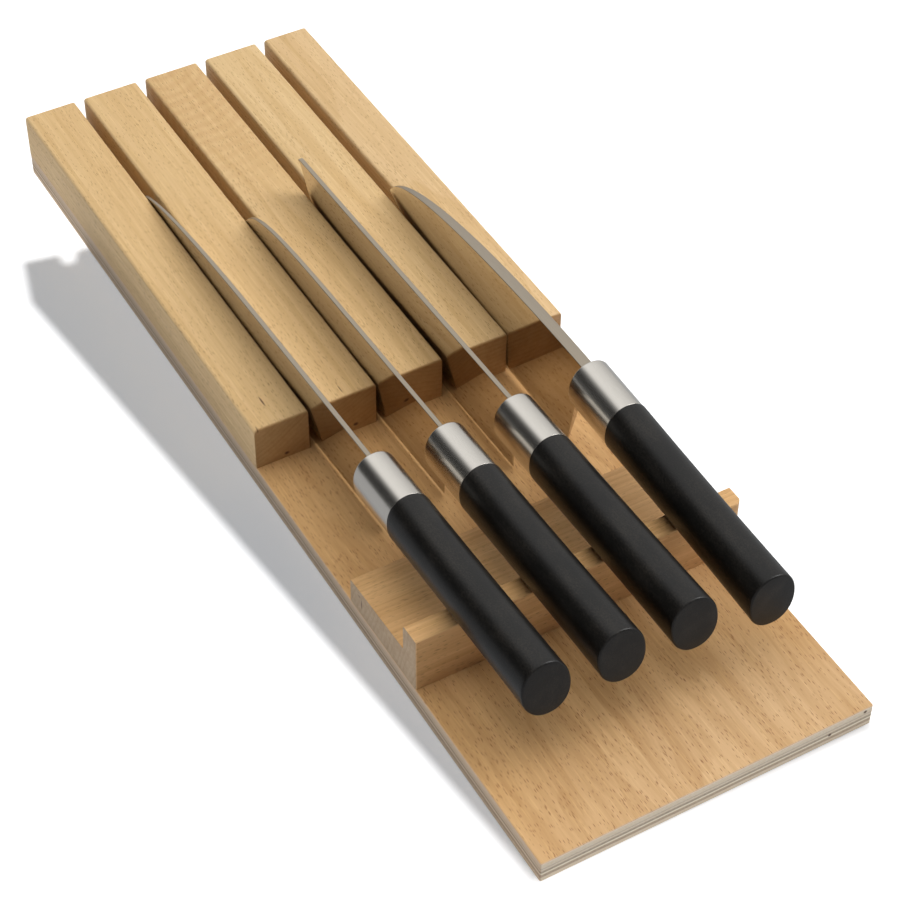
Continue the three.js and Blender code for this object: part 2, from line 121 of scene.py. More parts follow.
@dataclass
class Skin:
    """Vertices and faces of one piece, gathered shell by shell."""

    points: list[np.ndarray] = field(default_factory=list)
    faces: list[np.ndarray] = field(default_factory=list)
    sharp: list[np.ndarray] = field(default_factory=list)
    marks: list[np.ndarray] = field(default_factory=list)
    count: int = 0

    def add_rings(self, rings: np.ndarray, sharp_sides: Sequence[int] = (),
                  mark: np.ndarray | None = None) -> None:
        """Adds a closed skin over rings that follow each other, with a flat face over both ends.

        Corner (i, j) of the grid is point j of ring i. Each cell is joined to the next ring and
        to the next point, and the last point of a ring is joined to its first.

        Args:
            rings: Array of shape (rings, sides, 3). Each ring turns from +X towards +Z while
                the rings advance along +Y, or the same turned as a whole.
            sharp_sides: Numbers of the ring points whose lines along the skin stay sharp.
            mark: One value per ring point, kept on the vertices as the attribute "ground".
        """
        rows, sides, _ = rings.shape
        grid = self.count + np.arange(rows * sides).reshape(rows, sides)
        right = np.roll(grid, -1, axis=1)
        cells = np.stack([grid[:-1], grid[1:], right[1:], right[:-1]], axis=-1).reshape(-1, 4)
        self.points.append(rings.reshape(-1, 3))
        self.faces += [cells, grid[:1], grid[-1:, ::-1]]
        for side in sharp_sides:
            self.sharp.append(np.stack([grid[:-1, side], grid[1:, side]], axis=-1))
        self.marks.append(np.tile(np.zeros(sides) if mark is None else mark, rows))
        self.count += rows * sides

    def build(self, name: str, smooth_below: float = 30.0) -> Object:
        """Makes the mesh object.

        Args:
            name: Name of the piece.
            smooth_below: Edges whose faces turn by more than this angle in degrees are sharp.

        Returns:
            The new object, at the origin, with its place in its mesh.
        """
        mesh = bpy.data.meshes.new(name)
        faces = [face.tolist() for block in self.faces for face in block]
        mesh.from_pydata((np.concatenate(self.points) * MM).tolist(), [], faces)
        mesh.update()
        mesh.polygons.foreach_set("use_smooth", np.ones(len(mesh.polygons), bool))
        mesh.set_sharp_from_angle(angle=np.radians(smooth_below))
        if self.sharp:
            self._mark_sharp(mesh)
        ground = mesh.attributes.new("ground", "FLOAT", "POINT")
        ground.data.foreach_set("value", np.concatenate(self.marks).astype(np.float32))
        return add_object(name, mesh)

    def _mark_sharp(self, mesh: bpy.types.Mesh) -> None:
        """Marks the chosen lines of the skin sharp, beside those found by angle.

        Args:
            mesh: Mesh of the piece.
        """
        pairs = np.zeros(len(mesh.edges) * 2, np.int32)
        mesh.edges.foreach_get("vertices", pairs)
        pairs = np.sort(pairs.reshape(-1, 2), axis=1).astype(np.int64)
        wanted = np.sort(np.concatenate(self.sharp), axis=1).astype(np.int64)
        size = len(mesh.vertices)
        chosen = np.isin(pairs[:, 0] * size + pairs[:, 1], wanted[:, 0] * size + wanted[:, 1])
        attribute = mesh.attributes.get("sharp_edge") or mesh.attributes.new(
            "sharp_edge", "BOOLEAN", "EDGE")
        known = np.zeros(len(mesh.edges), bool)
        attribute.data.foreach_get("value", known)
        attribute.data.foreach_set("value", known | chosen)


def quarter(steps: int) -> np.ndarray:
    """Angles from 0 to a quarter turn, both included."""
    return np.linspace(0.0, np.pi / 2, steps + 1)


def rounding(distance: np.ndarray, radius: float) -> np.ndarray:
    """How far a quarter-round edge falls back at a distance from the end face.

    The fall is r - sqrt(r^2 - (r - d)^2) where d is below r, and nothing further in.

    Args:
        distance: Distances d from the end face.
        radius: Radius r of the edge.

    Returns:
        The fall at each distance.
    """
    inside = np.clip(1.0 - distance / radius, 0.0, 1.0)
    return radius * (1.0 - np.sqrt(1.0 - inside**2))


def spread(near_end: np.ndarray, length: float, count: int) -> np.ndarray:
    """Places along a length: near both ends as told, and evenly between them."""
    middle = np.linspace(near_end[-1], length - near_end[-1], count)[1:-1]
    return np.concatenate([near_end, middle, length - near_end[::-1]])


def arc(x: Value, up: Value, radius: Value, turn: np.ndarray, side: int = 1) -> np.ndarray:
    """Points of a quarter-round inside the corner (x, up).

    The point at angle a is (x - side r (1 - cos a), up - r (1 - sin a)).

    Args:
        x: Place of the corner across.
        up: Height of the corner.
        radius: Radius r of the quarter-round.
        turn: The angles a.
        side: 1 for a corner on the right, -1 for one on the left.

    Returns:
        Array of the points, whose last axis is (x, up).
    """
    x, up, radius = (np.asarray(value, float)[..., None] for value in (x, up, radius))
    return np.stack([x - side * radius * (1 - np.cos(turn)), up - radius * (1 - np.sin(turn))],
                    axis=-1)


# ---------------------------------------------------------------- node helpers


@dataclass
class Sheet:
    """Adds nodes and links to one node tree."""

    tree: bpy.types.NodeTree

    def fill(self, node: bpy.types.Node, inputs: Inputs) -> None:
        """Links the inputs that are sockets to a node, and sets those that are values.

        Args:
            node: The node.
            inputs: Input name or number to a socket or a value.
        """
        for key, value in inputs.items():
            if isinstance(value, Socket):
                self.tree.links.new(value, node.inputs[key])
            else:
                node.inputs[key].default_value = value

    def node(self, kind: str, inputs: Inputs, **settings: Value) -> Outputs:
        """Adds a node.

        Args:
            kind: Blender's name of the node type without "ShaderNode".
            inputs: Input name or number to a value, or to a socket that is linked to it.
            settings: Properties of the node.

        Returns:
            The node's outputs.
        """
        made = self.tree.nodes.new("ShaderNode" + kind)
        for name, value in settings.items():
            setattr(made, name, value)
        self.fill(made, inputs)
        return made.outputs

    def math(self, operation: str, *values: Value, clamp: bool = False) -> Socket:
        """The result of a Math node on numbers or sockets."""
        return self.node("Math", dict(enumerate(values)), operation=operation, use_clamp=clamp)[0]

    def times(self, first: Value, second: Value) -> Socket:
        """The product of two values."""
        return self.math("MULTIPLY", first, second)

    def affine(self, value: Value, factor: Value, plus: Value) -> Socket:
        """The value times a factor, plus another value."""
        return self.math("MULTIPLY_ADD", value, factor, plus)

    def vector(self, operation: str, *values: Value, result: str = "Vector") -> Socket:
        """A result of a Vector Math node."""
        return self.node("VectorMath", dict(enumerate(values)), operation=operation)[result]

    def scaled(self, vector: Value, x: float, y: float, z: float) -> Socket:
        """The vector times one factor for each axis."""
        return self.vector("MULTIPLY", vector, (x, y, z))

    def grown(self, vector: Socket, factor: Value) -> Socket:
        """The vector times a single factor."""
        return self.node("VectorMath", {0: vector, "Scale": factor}, operation="SCALE")[0]

    def millimetres(self, place: Socket, shift: Point = (0.0, 0.0, 0.0),
                    turn: float = 0.0) -> Socket:
        """The place in millimetres, turned about Z and then shifted."""
        return self.node("Mapping", {"Vector": place, "Location": shift,
                                     "Rotation": (0.0, 0.0, turn), "Scale": (1 / MM,) * 3})[0]

    def noise(self, vector: Value, detail: float = 2.0, rough: float = 0.5,
              result: str = "Fac") -> Socket:
        """A 3-D noise of about 0 to 1, at one unit of the vector a cell."""
        inputs = {"Vector": vector, "Scale": 1.0, "Detail": detail, "Roughness": rough}
        return self.node("TexNoise", inputs)[result]

    def step(self, value: Value, low: Value, high: Value) -> Socket:
        """A smooth step from 0 at low to 1 at high."""
        inputs = {"Value": value, "From Min": low, "From Max": high}
        return self.node("MapRange", inputs, interpolation_type="SMOOTHSTEP")[0]

    def blend(self, factor: Value, first: Value, second: Value, mode: str = "MIX") -> Socket:
        """Mixes two colours.

        Args:
            factor: Share of the second colour.
            first: A colour or a socket.
            second: A colour or a socket.
            mode: Blend type of the Mix node.

        Returns:
            The mixed colour.
        """
        first, second = (color if isinstance(color, Socket) else (*color, 1.0)
                         for color in (first, second))
        return self.node("Mix", {0: factor, 6: first, 7: second}, data_type="RGBA",
                         blend_type=mode, clamp_factor=True)[2]

    def tinted(self, color: Socket, tint: Value) -> Socket:
        """A colour times a tint."""
        return self.blend(1.0, color, tint, mode="MULTIPLY")

    def spot(self, place: Socket, middle: Point, half: Point, color: Value, tint: Color) -> Socket:
        """A colour with one soft spot in it.

        Args:
            place: Object coordinates.
            middle: The spot's middle in millimetres.
            half: Its half sizes in millimetres.
            color: The colour around it.
            tint: Its own colour.

        Returns:
            The mixed colour.
        """
        off = self.vector("SUBTRACT", place, tuple(value * MM for value in middle))
        off = self.vector("DIVIDE", off, tuple(value * MM for value in half))
        reach = self.vector("LENGTH", off, result="Value")
        return self.blend(self.step(reach, 1.0, 0.35), color, tint)

    def ramp(self, factor: Value, stops: Sequence[tuple[float, Color]]) -> Socket:
        """Adds a linear Color Ramp.

        Args:
            factor: Place along the ramp.
            stops: Place and colour of each stop.

        Returns:
            The colour.
        """
        made = self.tree.nodes.new("ShaderNodeValToRGB")
        self.fill(made, {"Fac": factor})
        elements = made.color_ramp.elements
        elements.remove(elements[-1])
        elements[0].position, elements[0].color = stops[0][0], (*stops[0][1], 1.0)
        for place, color in stops[1:]:
            elements.new(place).color = (*color, 1.0)
        return made.outputs["Color"]

    def bump(self, height: Socket, strength: float, distance: float) -> Socket:
        """The normal of a Bump node whose distance is in millimetres."""
        inputs = {"Height": height, "Strength": strength, "Distance": distance * MM}
        return self.node("Bump", inputs)["Normal"]


def new_group(name: str, inputs: dict[str, Value],
              outputs: dict[str, str]) -> tuple[Sheet, Outputs, bpy.types.Node]:
    """Starts a shader node group.

    Args:
        name: Name of the group.
        inputs: Name and default of each input: a number, a colour, or None for a vector.
        outputs: Name and socket type of each output.

    Returns:
        The group's sheet, what it is given, and its output node.
    """
    tree = bpy.data.node_groups.new(name, "ShaderNodeTree")
    for label, default in inputs.items():
        kind = PLACE if default is None else TINT if isinstance(default, tuple) else NUMBER
        socket = tree.interface.new_socket(label, in_out="INPUT", socket_type=kind)
        if default is not None:
            socket.default_value = default
    for label, kind in outputs.items():
        tree.interface.new_socket(label, in_out="OUTPUT", socket_type=kind)
    given = tree.nodes.new("NodeGroupInput").outputs
    return Sheet(tree), given, tree.nodes.new("NodeGroupOutput")


def beech_figure_group() -> bpy.types.NodeTree:
    """Builds the figure of beech as a solid pattern.

    The input vector is in millimetres with the grain along Y and the pith on the Y axis. Growth
    rings are the distance from that axis over the ring spacing, shifted by slow noise. Rays are
    Voronoi cells drawn out along the grain, and show as short dark and pale flecks. Pores and
    fibres are noise drawn out further.

    Returns:
        The group.
    """
    sheet, given, out = new_group(
        "beech_figure",
        {"Vector": None, "Pale": (0.7, 0.5, 0.28, 1.0), "Deep": (0.5, 0.3, 0.14, 1.0),
         "Fleck": (0.35, 0.2, 0.09, 1.0), "Ring spacing": 2.6, "Ring strength": 0.3,
         "Waviness": 3.0, "Streaks": 0.3, "Fleck strength": 0.6, "Fleck size": 1.0,
         "End grain": 0.0},
        {"Color": TINT, "Roughness": NUMBER, "Height": NUMBER})
    place = given["Vector"]
    drift = sheet.noise(sheet.scaled(place, 0.035, 0.007, 0.035), result="Color")
    drift = sheet.vector("SUBTRACT", drift, (0.5, 0.5, 0.5))
    shifted = sheet.vector("ADD", place, sheet.grown(drift, given["Waviness"]))
    radius = sheet.vector("LENGTH", sheet.scaled(shifted, 1.0, 0.0, 1.0), result="Value")
    turns = sheet.math("DIVIDE", radius, given["Ring spacing"])
    share = sheet.math("FRACT", turns)
    late = sheet.times(sheet.step(share, 0.25, 0.93), sheet.step(share, 1.0, 0.95))
    each = sheet.node("TexWhiteNoise", {"W": sheet.math("FLOOR", turns)}, noise_dimensions="1D")
    ring = sheet.times(late, sheet.affine(each["Value"], 0.8, 0.35))
    broad = sheet.noise(sheet.scaled(shifted, 0.16, 0.004, 0.16), detail=3.0)
    streak = sheet.noise(sheet.scaled(shifted, 0.62, 0.011, 0.62), detail=3.0, rough=0.6)
    fibre = sheet.noise(sheet.scaled(place, 3.6, 0.09, 3.6))
    lean = sheet.step(sheet.affine(broad, 0.45, sheet.times(streak, 0.55)), 0.37, 0.63)
    depth = sheet.affine(lean, given["Streaks"], sheet.times(ring, given["Ring strength"]))
    depth = sheet.math("ADD", depth, sheet.affine(fibre, 0.22, -0.11), clamp=True)
    color = sheet.blend(depth, given["Pale"], given["Deep"])

    cell = {axis: sheet.times(given["Fleck size"], side)
            for axis, side in (("X", 0.8), ("Y", 5.6), ("Z", 1.7))}
    cells = sheet.vector("DIVIDE", place, sheet.node("CombineXYZ", cell)[0])
    cells = sheet.vector("ADD", cells, sheet.grown(drift, 0.8))
    near = sheet.node("TexVoronoi", {"Vector": cells, "Scale": 1.0})
    thin = sheet.noise(sheet.scaled(place, 0.12, 0.03, 0.12), detail=1.0)
    dark = sheet.step(near["Distance"], sheet.affine(thin, 0.42, 0.10), 0.09)
    dark = sheet.times(dark, sheet.step(near["Color"], 0.0, 0.55))
    far = sheet.vector("ADD", sheet.scaled(cells, 0.8, 0.2, 0.8), (17.3, 5.1, 9.7))
    far = sheet.node("TexVoronoi", {"Vector": far, "Scale": 1.0})["Distance"]
    long_grain = sheet.math("SUBTRACT", 1.0, given["End grain"])
    fleck = sheet.times(sheet.times(dark, given["Fleck strength"]),
                        sheet.affine(long_grain, 0.7, 0.3))
    color = sheet.blend(fleck, color, given["Fleck"])
    pale = sheet.times(sheet.times(sheet.step(far, 0.42, 0.10), 0.28), long_grain)
    sheet.fill(out, {
        "Color": sheet.blend(pale, color, (1.0, 0.93, 0.8), mode="SOFT_LIGHT"),
        "Roughness": sheet.affine(depth, 0.1, sheet.affine(fibre, 0.16, 0.42)),
        "Height": sheet.affine(fleck, -0.5, sheet.times(fibre, 0.5))})
    return sheet.tree


def steel_lines_group() -> bpy.types.NodeTree:
    """Builds the fine parallel lines that grinding or brushing leaves in steel.

    The input vector is in millimetres. The lines are noise with one cell a line's width across
    and a line's length along, and the cloud is slow noise of the same kind.

    Returns:
        The group.
    """
    sheet, given, out = new_group(
        "steel_lines", {"Vector": None, "Line width": 0.12, "Line length": 14.0},
        {"Lines": NUMBER, "Cloud": NUMBER})
    thin = sheet.math("DIVIDE", 1.0, given["Line width"])
    long = sheet.math("DIVIDE", 1.0, given["Line length"])
    stretch = sheet.node("CombineXYZ", {"X": thin, "Y": long, "Z": thin})[0]
    lines = sheet.vector("MULTIPLY", given["Vector"], stretch)
    sheet.fill(out, {"Lines": sheet.noise(lines, detail=3.0, rough=0.7),
                     "Cloud": sheet.noise(sheet.scaled(given["Vector"], 0.12, 0.05, 0.12))})
    return sheet.tree


@dataclass
class Workshop:
    """The node groups that several finishes share, each built once."""

    beech_figure: bpy.types.NodeTree = field(default_factory=beech_figure_group)
    steel_lines: bpy.types.NodeTree = field(default_factory=steel_lines_group)

    def lines(self, sheet: Sheet, place: Socket, width: float, length: float) -> Outputs:
        """The outputs of the steel lines at a width and a length of line."""
        inputs = {"Vector": sheet.millimetres(place), "Line width": width, "Line length": length}
        return sheet.node("Group", inputs, node_tree=self.steel_lines)


def new_material(name: str) -> tuple[Material, Sheet, bpy.types.Node]:
    """Starts a material.

    Args:
        name: Its name.

    Returns:
        The material, its sheet and its Principled node.
    """
    material = bpy.data.materials.new(name)
    material.use_nodes = True
    return material, Sheet(material.node_tree), material.node_tree.nodes["Principled BSDF"]


# ---------------------------------------------------------------- finishes


@dataclass(frozen=True)
class Finish:
    """One kind of surface, whose material paint() describes."""

    name: str

    def paint(self, sheet: Sheet, coords: Outputs, shop: Workshop) -> Inputs:
        """Adds the finish's nodes.

        Args:
            sheet: Sheet of the material.
            coords: Outputs of its Texture Coordinate node.
            shop: Shared node groups.

        Returns:
            Inputs of the Principled node.
        """
        raise NotImplementedError

    def make(self, shop: Workshop) -> Material:
        """Builds the material.

        Args:
            shop: Shared node groups.

        Returns:
            The material.
        """
        material, sheet, shader = new_material(self.name)
        sheet.fill(shader, self.paint(sheet, sheet.node("TexCoord", {}), shop))
        return material


@dataclass(frozen=True)
class WoodFinish(Finish):
    """What the woods share: the colours and sizes of the beech figure, in millimetres."""

    pale: Color = (0.70, 0.487, 0.252)
    deep: Color = (0.565, 0.36, 0.160)
    fleck: Color = (0.36, 0.20, 0.085)
    ring_spacing: float = 2.4
    ring_strength: float = 0.35
    waviness: float = 5.0
    streaks: float = 0.42
    fleck_strength: float = 0.7
    fleck_size: float = 0.72
    specular: float = 0.35

    def figure(self, sheet: Sheet, shop: Workshop, place: Socket, more: Inputs) -> Outputs:
        """Adds the beech figure.

        Args:
            sheet: Sheet of the material.
            shop: Shared node groups.
            place: Place in the log in millimetres.
            more: Inputs that stand in for the finish's own.

        Returns:
            The figure's outputs.
        """
        inputs = {"Vector": place, "Pale": (*self.pale, 1.0), "Deep": (*self.deep, 1.0),
                  "Fleck": (*self.fleck, 1.0), "Ring spacing": self.ring_spacing,
                  "Ring strength": self.ring_strength, "Waviness": self.waviness,
                  "Streaks": self.streaks, "Fleck strength": self.fleck_strength,
                  "Fleck size": self.fleck_size}
        return sheet.node("Group", inputs | more, node_tree=shop.beech_figure)


@dataclass(frozen=True)
class BeechFinish(WoodFinish):
    """Oiled solid beech, cut from the log where `pith` says.

    `pith` is the piece's origin as seen from the pith. `grain` is the way the grain runs.
    `marks` are small knots and checks, each with its middle and its half sizes. `curl` is the
    middle of faint curved bands where the grain dips.
    """

    pith: Point = (0.0, 0.0, 0.0)
    grain: Axis = Axis.ALONG_Y
    end_tint: Color = (0.76, 0.66, 0.57)
    end_ring_strength: float = 0.45
    mark_tint: Color = (0.13, 0.065, 0.03)
    marks: tuple[tuple[Point, Point], ...] = ()
    curl: Point | None = None
    curl_tint: Color = (0.56, 0.32, 0.15)
    curl_half: Point = (60.0, 150.0, 30.0)
    curl_strength: float = 0.34

    def curled(self, sheet: Sheet, place: Socket, color: Socket) -> Socket:
        """Adds rings about 7 mm apart round `curl`, under a soft spot that fades outwards.

        Args:
            sheet: Sheet of the material.
            place: Object coordinates.
            color: The colour without the bands.

        Returns:
            The colour with them.
        """
        off = sheet.vector("SUBTRACT", place, tuple(value * MM for value in self.curl))
        inputs = {"Vector": sheet.scaled(off, 1.3, 1.0, 0.0), "Scale": 45.0, "Distortion": 3.0,
                  "Detail": 2.0}
        rings = sheet.node("TexWave", inputs, wave_type="RINGS", rings_direction="SPHERICAL")
        reach = sheet.spot(place, self.curl, self.curl_half, (0.0,) * 3, (self.curl_strength,) * 3)
        return sheet.blend(sheet.times(rings["Fac"], reach), color, self.curl_tint)

    def paint(self, sheet: Sheet, coords: Outputs, shop: Workshop) -> Inputs:
        """Adds the figure, tinted on end grain, with its bands and marks.

        Args:
            sheet: Sheet of the material.
            coords: Outputs of its Texture Coordinate node.
            shop: Shared node groups.

        Returns:
            Inputs of the Principled node.
        """
        place = coords["Object"]
        sideways = self.grain is Axis.ALONG_X
        mapped = sheet.millimetres(place, self.pith, np.pi / 2 if sideways else 0.0)
        axis = (1.0, 0.0, 0.0) if sideways else (0.0, 1.0, 0.0)
        facing = sheet.vector("DOT_PRODUCT", coords["Normal"], axis, result="Value")
        end = sheet.step(sheet.math("ABSOLUTE", facing), 0.45, 0.9)
        rings = sheet.affine(end, self.end_ring_strength - self.ring_strength, self.ring_strength)
        figure = self.figure(sheet, shop, mapped, {"Ring strength": rings, "End grain": end})
        color = sheet.blend(end, figure["Color"], sheet.tinted(figure["Color"], self.end_tint))
        if self.curl:
            color = self.curled(sheet, place, color)
        for middle, half in self.marks:
            color = sheet.spot(place, middle, half, color, self.mark_tint)
        return {"Base Color": color, "Roughness": figure["Roughness"],
                "Specular IOR Level": self.specular,
                "Normal": sheet.bump(figure["Height"], 0.12, 0.2)}


@dataclass(frozen=True)
class PlywoodFinish(WoodFinish):
    """Beech-faced plywood: sliced veneer on top and below, and glued layers along the edges.

    `layers` are the edge's colours from the foot to the top, paler than glued layers are: partly
    their own colour and partly painted light on the front edge. The top is painted paler and
    greyer towards the front, in a soft spot of painted light set by the fields below, and the
    left edge is painted darker as painted shade.
    """

    name: str = "plywood_beech_faced"
    pale: Color = (0.675, 0.412, 0.190)
    deep: Color = (0.49, 0.265, 0.102)
    fleck: Color = (0.27, 0.105, 0.036)
    ring_spacing: float = 5.2
    waviness: float = 26.0
    streaks: float = 0.46
    fleck_strength: float = 1.0
    fleck_size: float = 0.75
    pith: Point = (-34.0, 0.0, 212.0)
    thickness: float = 11.0
    # Painted light: the top is tinted paler and greyer in a soft spot along its front, standing in
    # for the fuller light there.
    front_painted_light: Color = (1.05, 1.14, 1.36)
    front_light_middle: Point = (40.0, -250.0, 11.0)
    front_light_half: Point = (170.0, 75.0, 30.0)
    # Painted shade: a darker tint for the edge where it faces -X, on the left.
    left_edge_painted_shade: Color = (0.72, 0.62, 0.53)
    # The layers are paler than glued beech layers are: partly their own colour, partly painted
    # light for the front edge, which takes the floor's light.
    layers: tuple[tuple[float, Color], ...] = (
        (0.00, (0.88, 0.75, 0.58)), (0.20, (0.85, 0.72, 0.55)), (0.25, (0.52, 0.39, 0.28)),
        (0.35, (0.58, 0.44, 0.31)), (0.38, (0.92, 0.83, 0.67)), (0.44, (0.92, 0.83, 0.67)),
        (0.46, (0.46, 0.36, 0.26)), (0.55, (0.54, 0.43, 0.32)), (0.58, (0.80, 0.69, 0.54)),
        (0.65, (0.76, 0.64, 0.50)), (0.68, (0.55, 0.45, 0.35)), (0.72, (0.79, 0.67, 0.52)),
        (0.93, (0.83, 0.71, 0.55)), (0.96, (0.97, 0.77, 0.60)), (1.00, (0.98, 0.80, 0.62)))
    fuzz_stops: tuple[tuple[float, Color], ...] = ((0.3, (0.25,) * 3), (0.7, (0.78,) * 3))
    knots: tuple[Point, ...] = ((54.95, -237.5, 5.1), (71.25, -237.5, 9.1))
    knot_half: Point = (1.1, 1.1, 1.1)
    knot_tint: Color = (0.12, 0.06, 0.03)

    def paint(self, sheet: Sheet, coords: Outputs, shop: Workshop) -> Inputs:
        """Adds the veneer's figure and the layers, parted by the way that the face looks.

        Args:
            sheet: Sheet of the material.
            coords: Outputs of its Texture Coordinate node.
            shop: Shared node groups.

        Returns:
            Inputs of the Principled node.
        """
        place = coords["Object"]
        figure = self.figure(sheet, shop, sheet.millimetres(place, self.pith), {})
        height = sheet.node("SeparateXYZ", {0: place})["Z"]
        sway = sheet.noise(sheet.scaled(place, 45.0, 45.0, 90.0), detail=3.0)
        level = sheet.math("DIVIDE", height, self.thickness * MM)
        level = sheet.math("ADD", level, sheet.affine(sway, 0.06, -0.03))
        fuzz = sheet.noise(sheet.scaled(place, 900.0, 900.0, 2600.0), detail=3.0)
        layer = sheet.blend(0.35, sheet.ramp(level, self.layers),
                            sheet.ramp(fuzz, self.fuzz_stops), mode="OVERLAY")
        for knot in self.knots:
            layer = sheet.spot(place, knot, self.knot_half, layer, self.knot_tint)
        facing = sheet.node("SeparateXYZ", {0: coords["Normal"]})
        # Painted shade: the edge's layers are darkened where the face looks to -X.
        left = sheet.step(facing["X"], -0.4, -0.85)
        layer = sheet.tinted(layer, sheet.blend(left, WHITE, self.left_edge_painted_shade))
        # Painted light: a paler, greyer spot over the front of the top.
        front_light_tint = sheet.spot(place, self.front_light_middle, self.front_light_half, WHITE, self.front_painted_light)
        face = sheet.tinted(figure["Color"], front_light_tint)
        edge = sheet.step(sheet.math("ABSOLUTE", facing["Z"]), 0.85, 0.4)
        relief = sheet.affine(fuzz, edge, figure["Height"])
        return {"Base Color": sheet.blend(edge, face, layer), "Roughness": figure["Roughness"],
                "Specular IOR Level": self.specular, "Normal": sheet.bump(relief, 0.15, 0.2)}


@dataclass(frozen=True)
class BladeFinish(Finish):
    """Polished blade faces with a satin spine and a ground edge."""

    name: str = "blade_steel_polished"
    face: Color = (0.60, 0.54, 0.465)
    satin: Color = (0.35, 0.295, 0.225)
    bright: Color = (0.9, 0.88, 0.84)

    def paint(self, sheet: Sheet, coords: Outputs, shop: Workshop) -> Inputs:
        """Adds lines along the blade, stronger and rougher where the mark "ground" is 1.

        Args:
            sheet: Sheet of the material.
            coords: Outputs of its Texture Coordinate node.
            shop: Shared node groups.

        Returns:
            Inputs of the Principled node.
        """
        lines = shop.lines(sheet, coords["Object"], 0.3, 30.0)["Lines"]
        ground = sheet.node("Attribute", {}, attribute_name="ground")["Fac"]
        satin = sheet.step(ground, 0.3, 0.7)
        color = sheet.blend(satin, self.face, self.satin)
        relief = sheet.times(lines, sheet.affine(satin, 0.9, 0.05))
        return {"Base Color": sheet.blend(sheet.times(lines, 0.12), color, self.bright),
                "Roughness": sheet.affine(satin, 0.30, sheet.affine(lines, 0.04, 0.03)),
                "Metallic": 1.0, "Normal": sheet.bump(relief, 0.1, 0.05)}


@dataclass(frozen=True)
class FerruleFinish(Finish):
    """Satin stainless steel, brushed along the knife."""

    name: str = "ferrule_steel_brushed"
    tint: Color = (0.72, 0.685, 0.63)
    deep: Color = (0.60, 0.57, 0.52)

    def paint(self, sheet: Sheet, coords: Outputs, shop: Workshop) -> Inputs:
        """Adds the brushed lines and a slow cloud in their gloss.

        Args:
            sheet: Sheet of the material.
            coords: Outputs of its Texture Coordinate node.
            shop: Shared node groups.

        Returns:
            Inputs of the Principled node.
        """
        brushed = shop.lines(sheet, coords["Object"], 0.13, 16.0)
        rough = sheet.affine(brushed["Lines"], 0.10, 0.16)
        return {"Base Color": sheet.blend(brushed["Lines"], self.deep, self.tint),
                "Roughness": sheet.affine(brushed["Cloud"], 0.06, rough),
                "Metallic": 1.0, "Normal": sheet.bump(brushed["Lines"], 0.03, 0.03)}


@dataclass(frozen=True)
class GripFinish(Finish):
    """Matt black grip with a fine moulded grain."""

    name: str = "grip_black_matt"
    black: Color = (0.0040, 0.0036, 0.0032)
    dusty: Color = (0.0200, 0.0170, 0.0140)

    def paint(self, sheet: Sheet, coords: Outputs, shop: Workshop) -> Inputs:
        """Adds fine grain and a slow cloud to the colour, and the grain to the gloss.

        Args:
            sheet: Sheet of the material.
            coords: Outputs of its Texture Coordinate node.
            shop: Shared node groups.

        Returns:
            Inputs of the Principled node.
        """
        mapped = sheet.millimetres(coords["Object"])
        grain = sheet.noise(sheet.scaled(mapped, 1.5, 1.1, 1.5), detail=3.0, rough=0.7)
        cloud = sheet.noise(sheet.scaled(mapped, 0.14, 0.05, 0.14))
        tone = sheet.affine(grain, 0.6, sheet.times(cloud, 0.4))
        return {"Base Color": sheet.blend(sheet.step(tone, 0.42, 0.75), self.black, self.dusty),
                "Roughness": sheet.affine(grain, 0.24, 0.23),
                "Specular IOR Level": 0.36, "Normal": sheet.bump(grain, 0.5, 0.1)}


@dataclass(frozen=True)
class ZincFinish(Finish):
    """Zinc plate on the screws, dulled in patches."""

    name: str = "screw_zinc"
    bright: Color = (0.62, 0.62, 0.60)
    dull: Color = (0.42, 0.42, 0.41)

    def paint(self, sheet: Sheet, coords: Outputs, shop: Workshop) -> Inputs:
        """Adds the patches to colour, gloss and relief.

        Args:
            sheet: Sheet of the material.
            coords: Outputs of its Texture Coordinate node.
            shop: Shared node groups.

        Returns:
            Inputs of the Principled node.
        """
        patches = sheet.noise(sheet.scaled(coords["Object"], 700.0, 700.0, 700.0), detail=3.0)
        return {"Base Color": sheet.blend(sheet.step(patches, 0.35, 0.65), self.bright, self.dull),
                "Roughness": sheet.affine(patches, 0.2, 0.28),
                "Metallic": 1.0, "Normal": sheet.bump(patches, 0.1, 0.1)}


# ---------------------------------------------------------------- pieces


def place(piece: Object, body: str, node: str, slot: Slot, material: Material) -> None:
    """Dresses a new piece and ties it to its body.

    Args:
        piece: The piece.
        body: CAD body it moves with.
        node: CAD node it stands for.
        slot: Material slot of the record; not used.
        material: Its finish.
    """
    piece.data.materials.append(material)
    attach(piece, body)
    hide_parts(node)
    LOG.info("%s: %d faces on %s", piece.name, len(piece.data.polygons), body)


def carve(rings: np.ndarray, node: str, kind: str, slot: Slot, material: Material) -> None:
    """Makes a piece of one closed skin that stands for a node of the block.

    Args:
        rings: The skin's rings.
        node: CAD node it stands for.
        kind: Word that its name adds to the node's.
        slot: Material slot of the record.
        material: Its finish.
    """
    skin = Skin()
    skin.add_rings(rings)
    place(skin.build(f"{node}_{kind}"), "block", node, slot, material)


@dataclass
class Board:
    """The plywood board, which keeps its CAD shape with its screw holes."""

    finish: PlywoodFinish = PlywoodFinish()

    def build(self, frame: dict, shop: Workshop) -> None:
        """Gives the board its finish.

        Args:
            shop: Shared node groups.
        """
        board = frame["nodes"]["base_board"]
        board.data.materials.clear()
        board.data.materials.append(self.finish.make(shop))
        LOG.info("base_board: plywood finish")


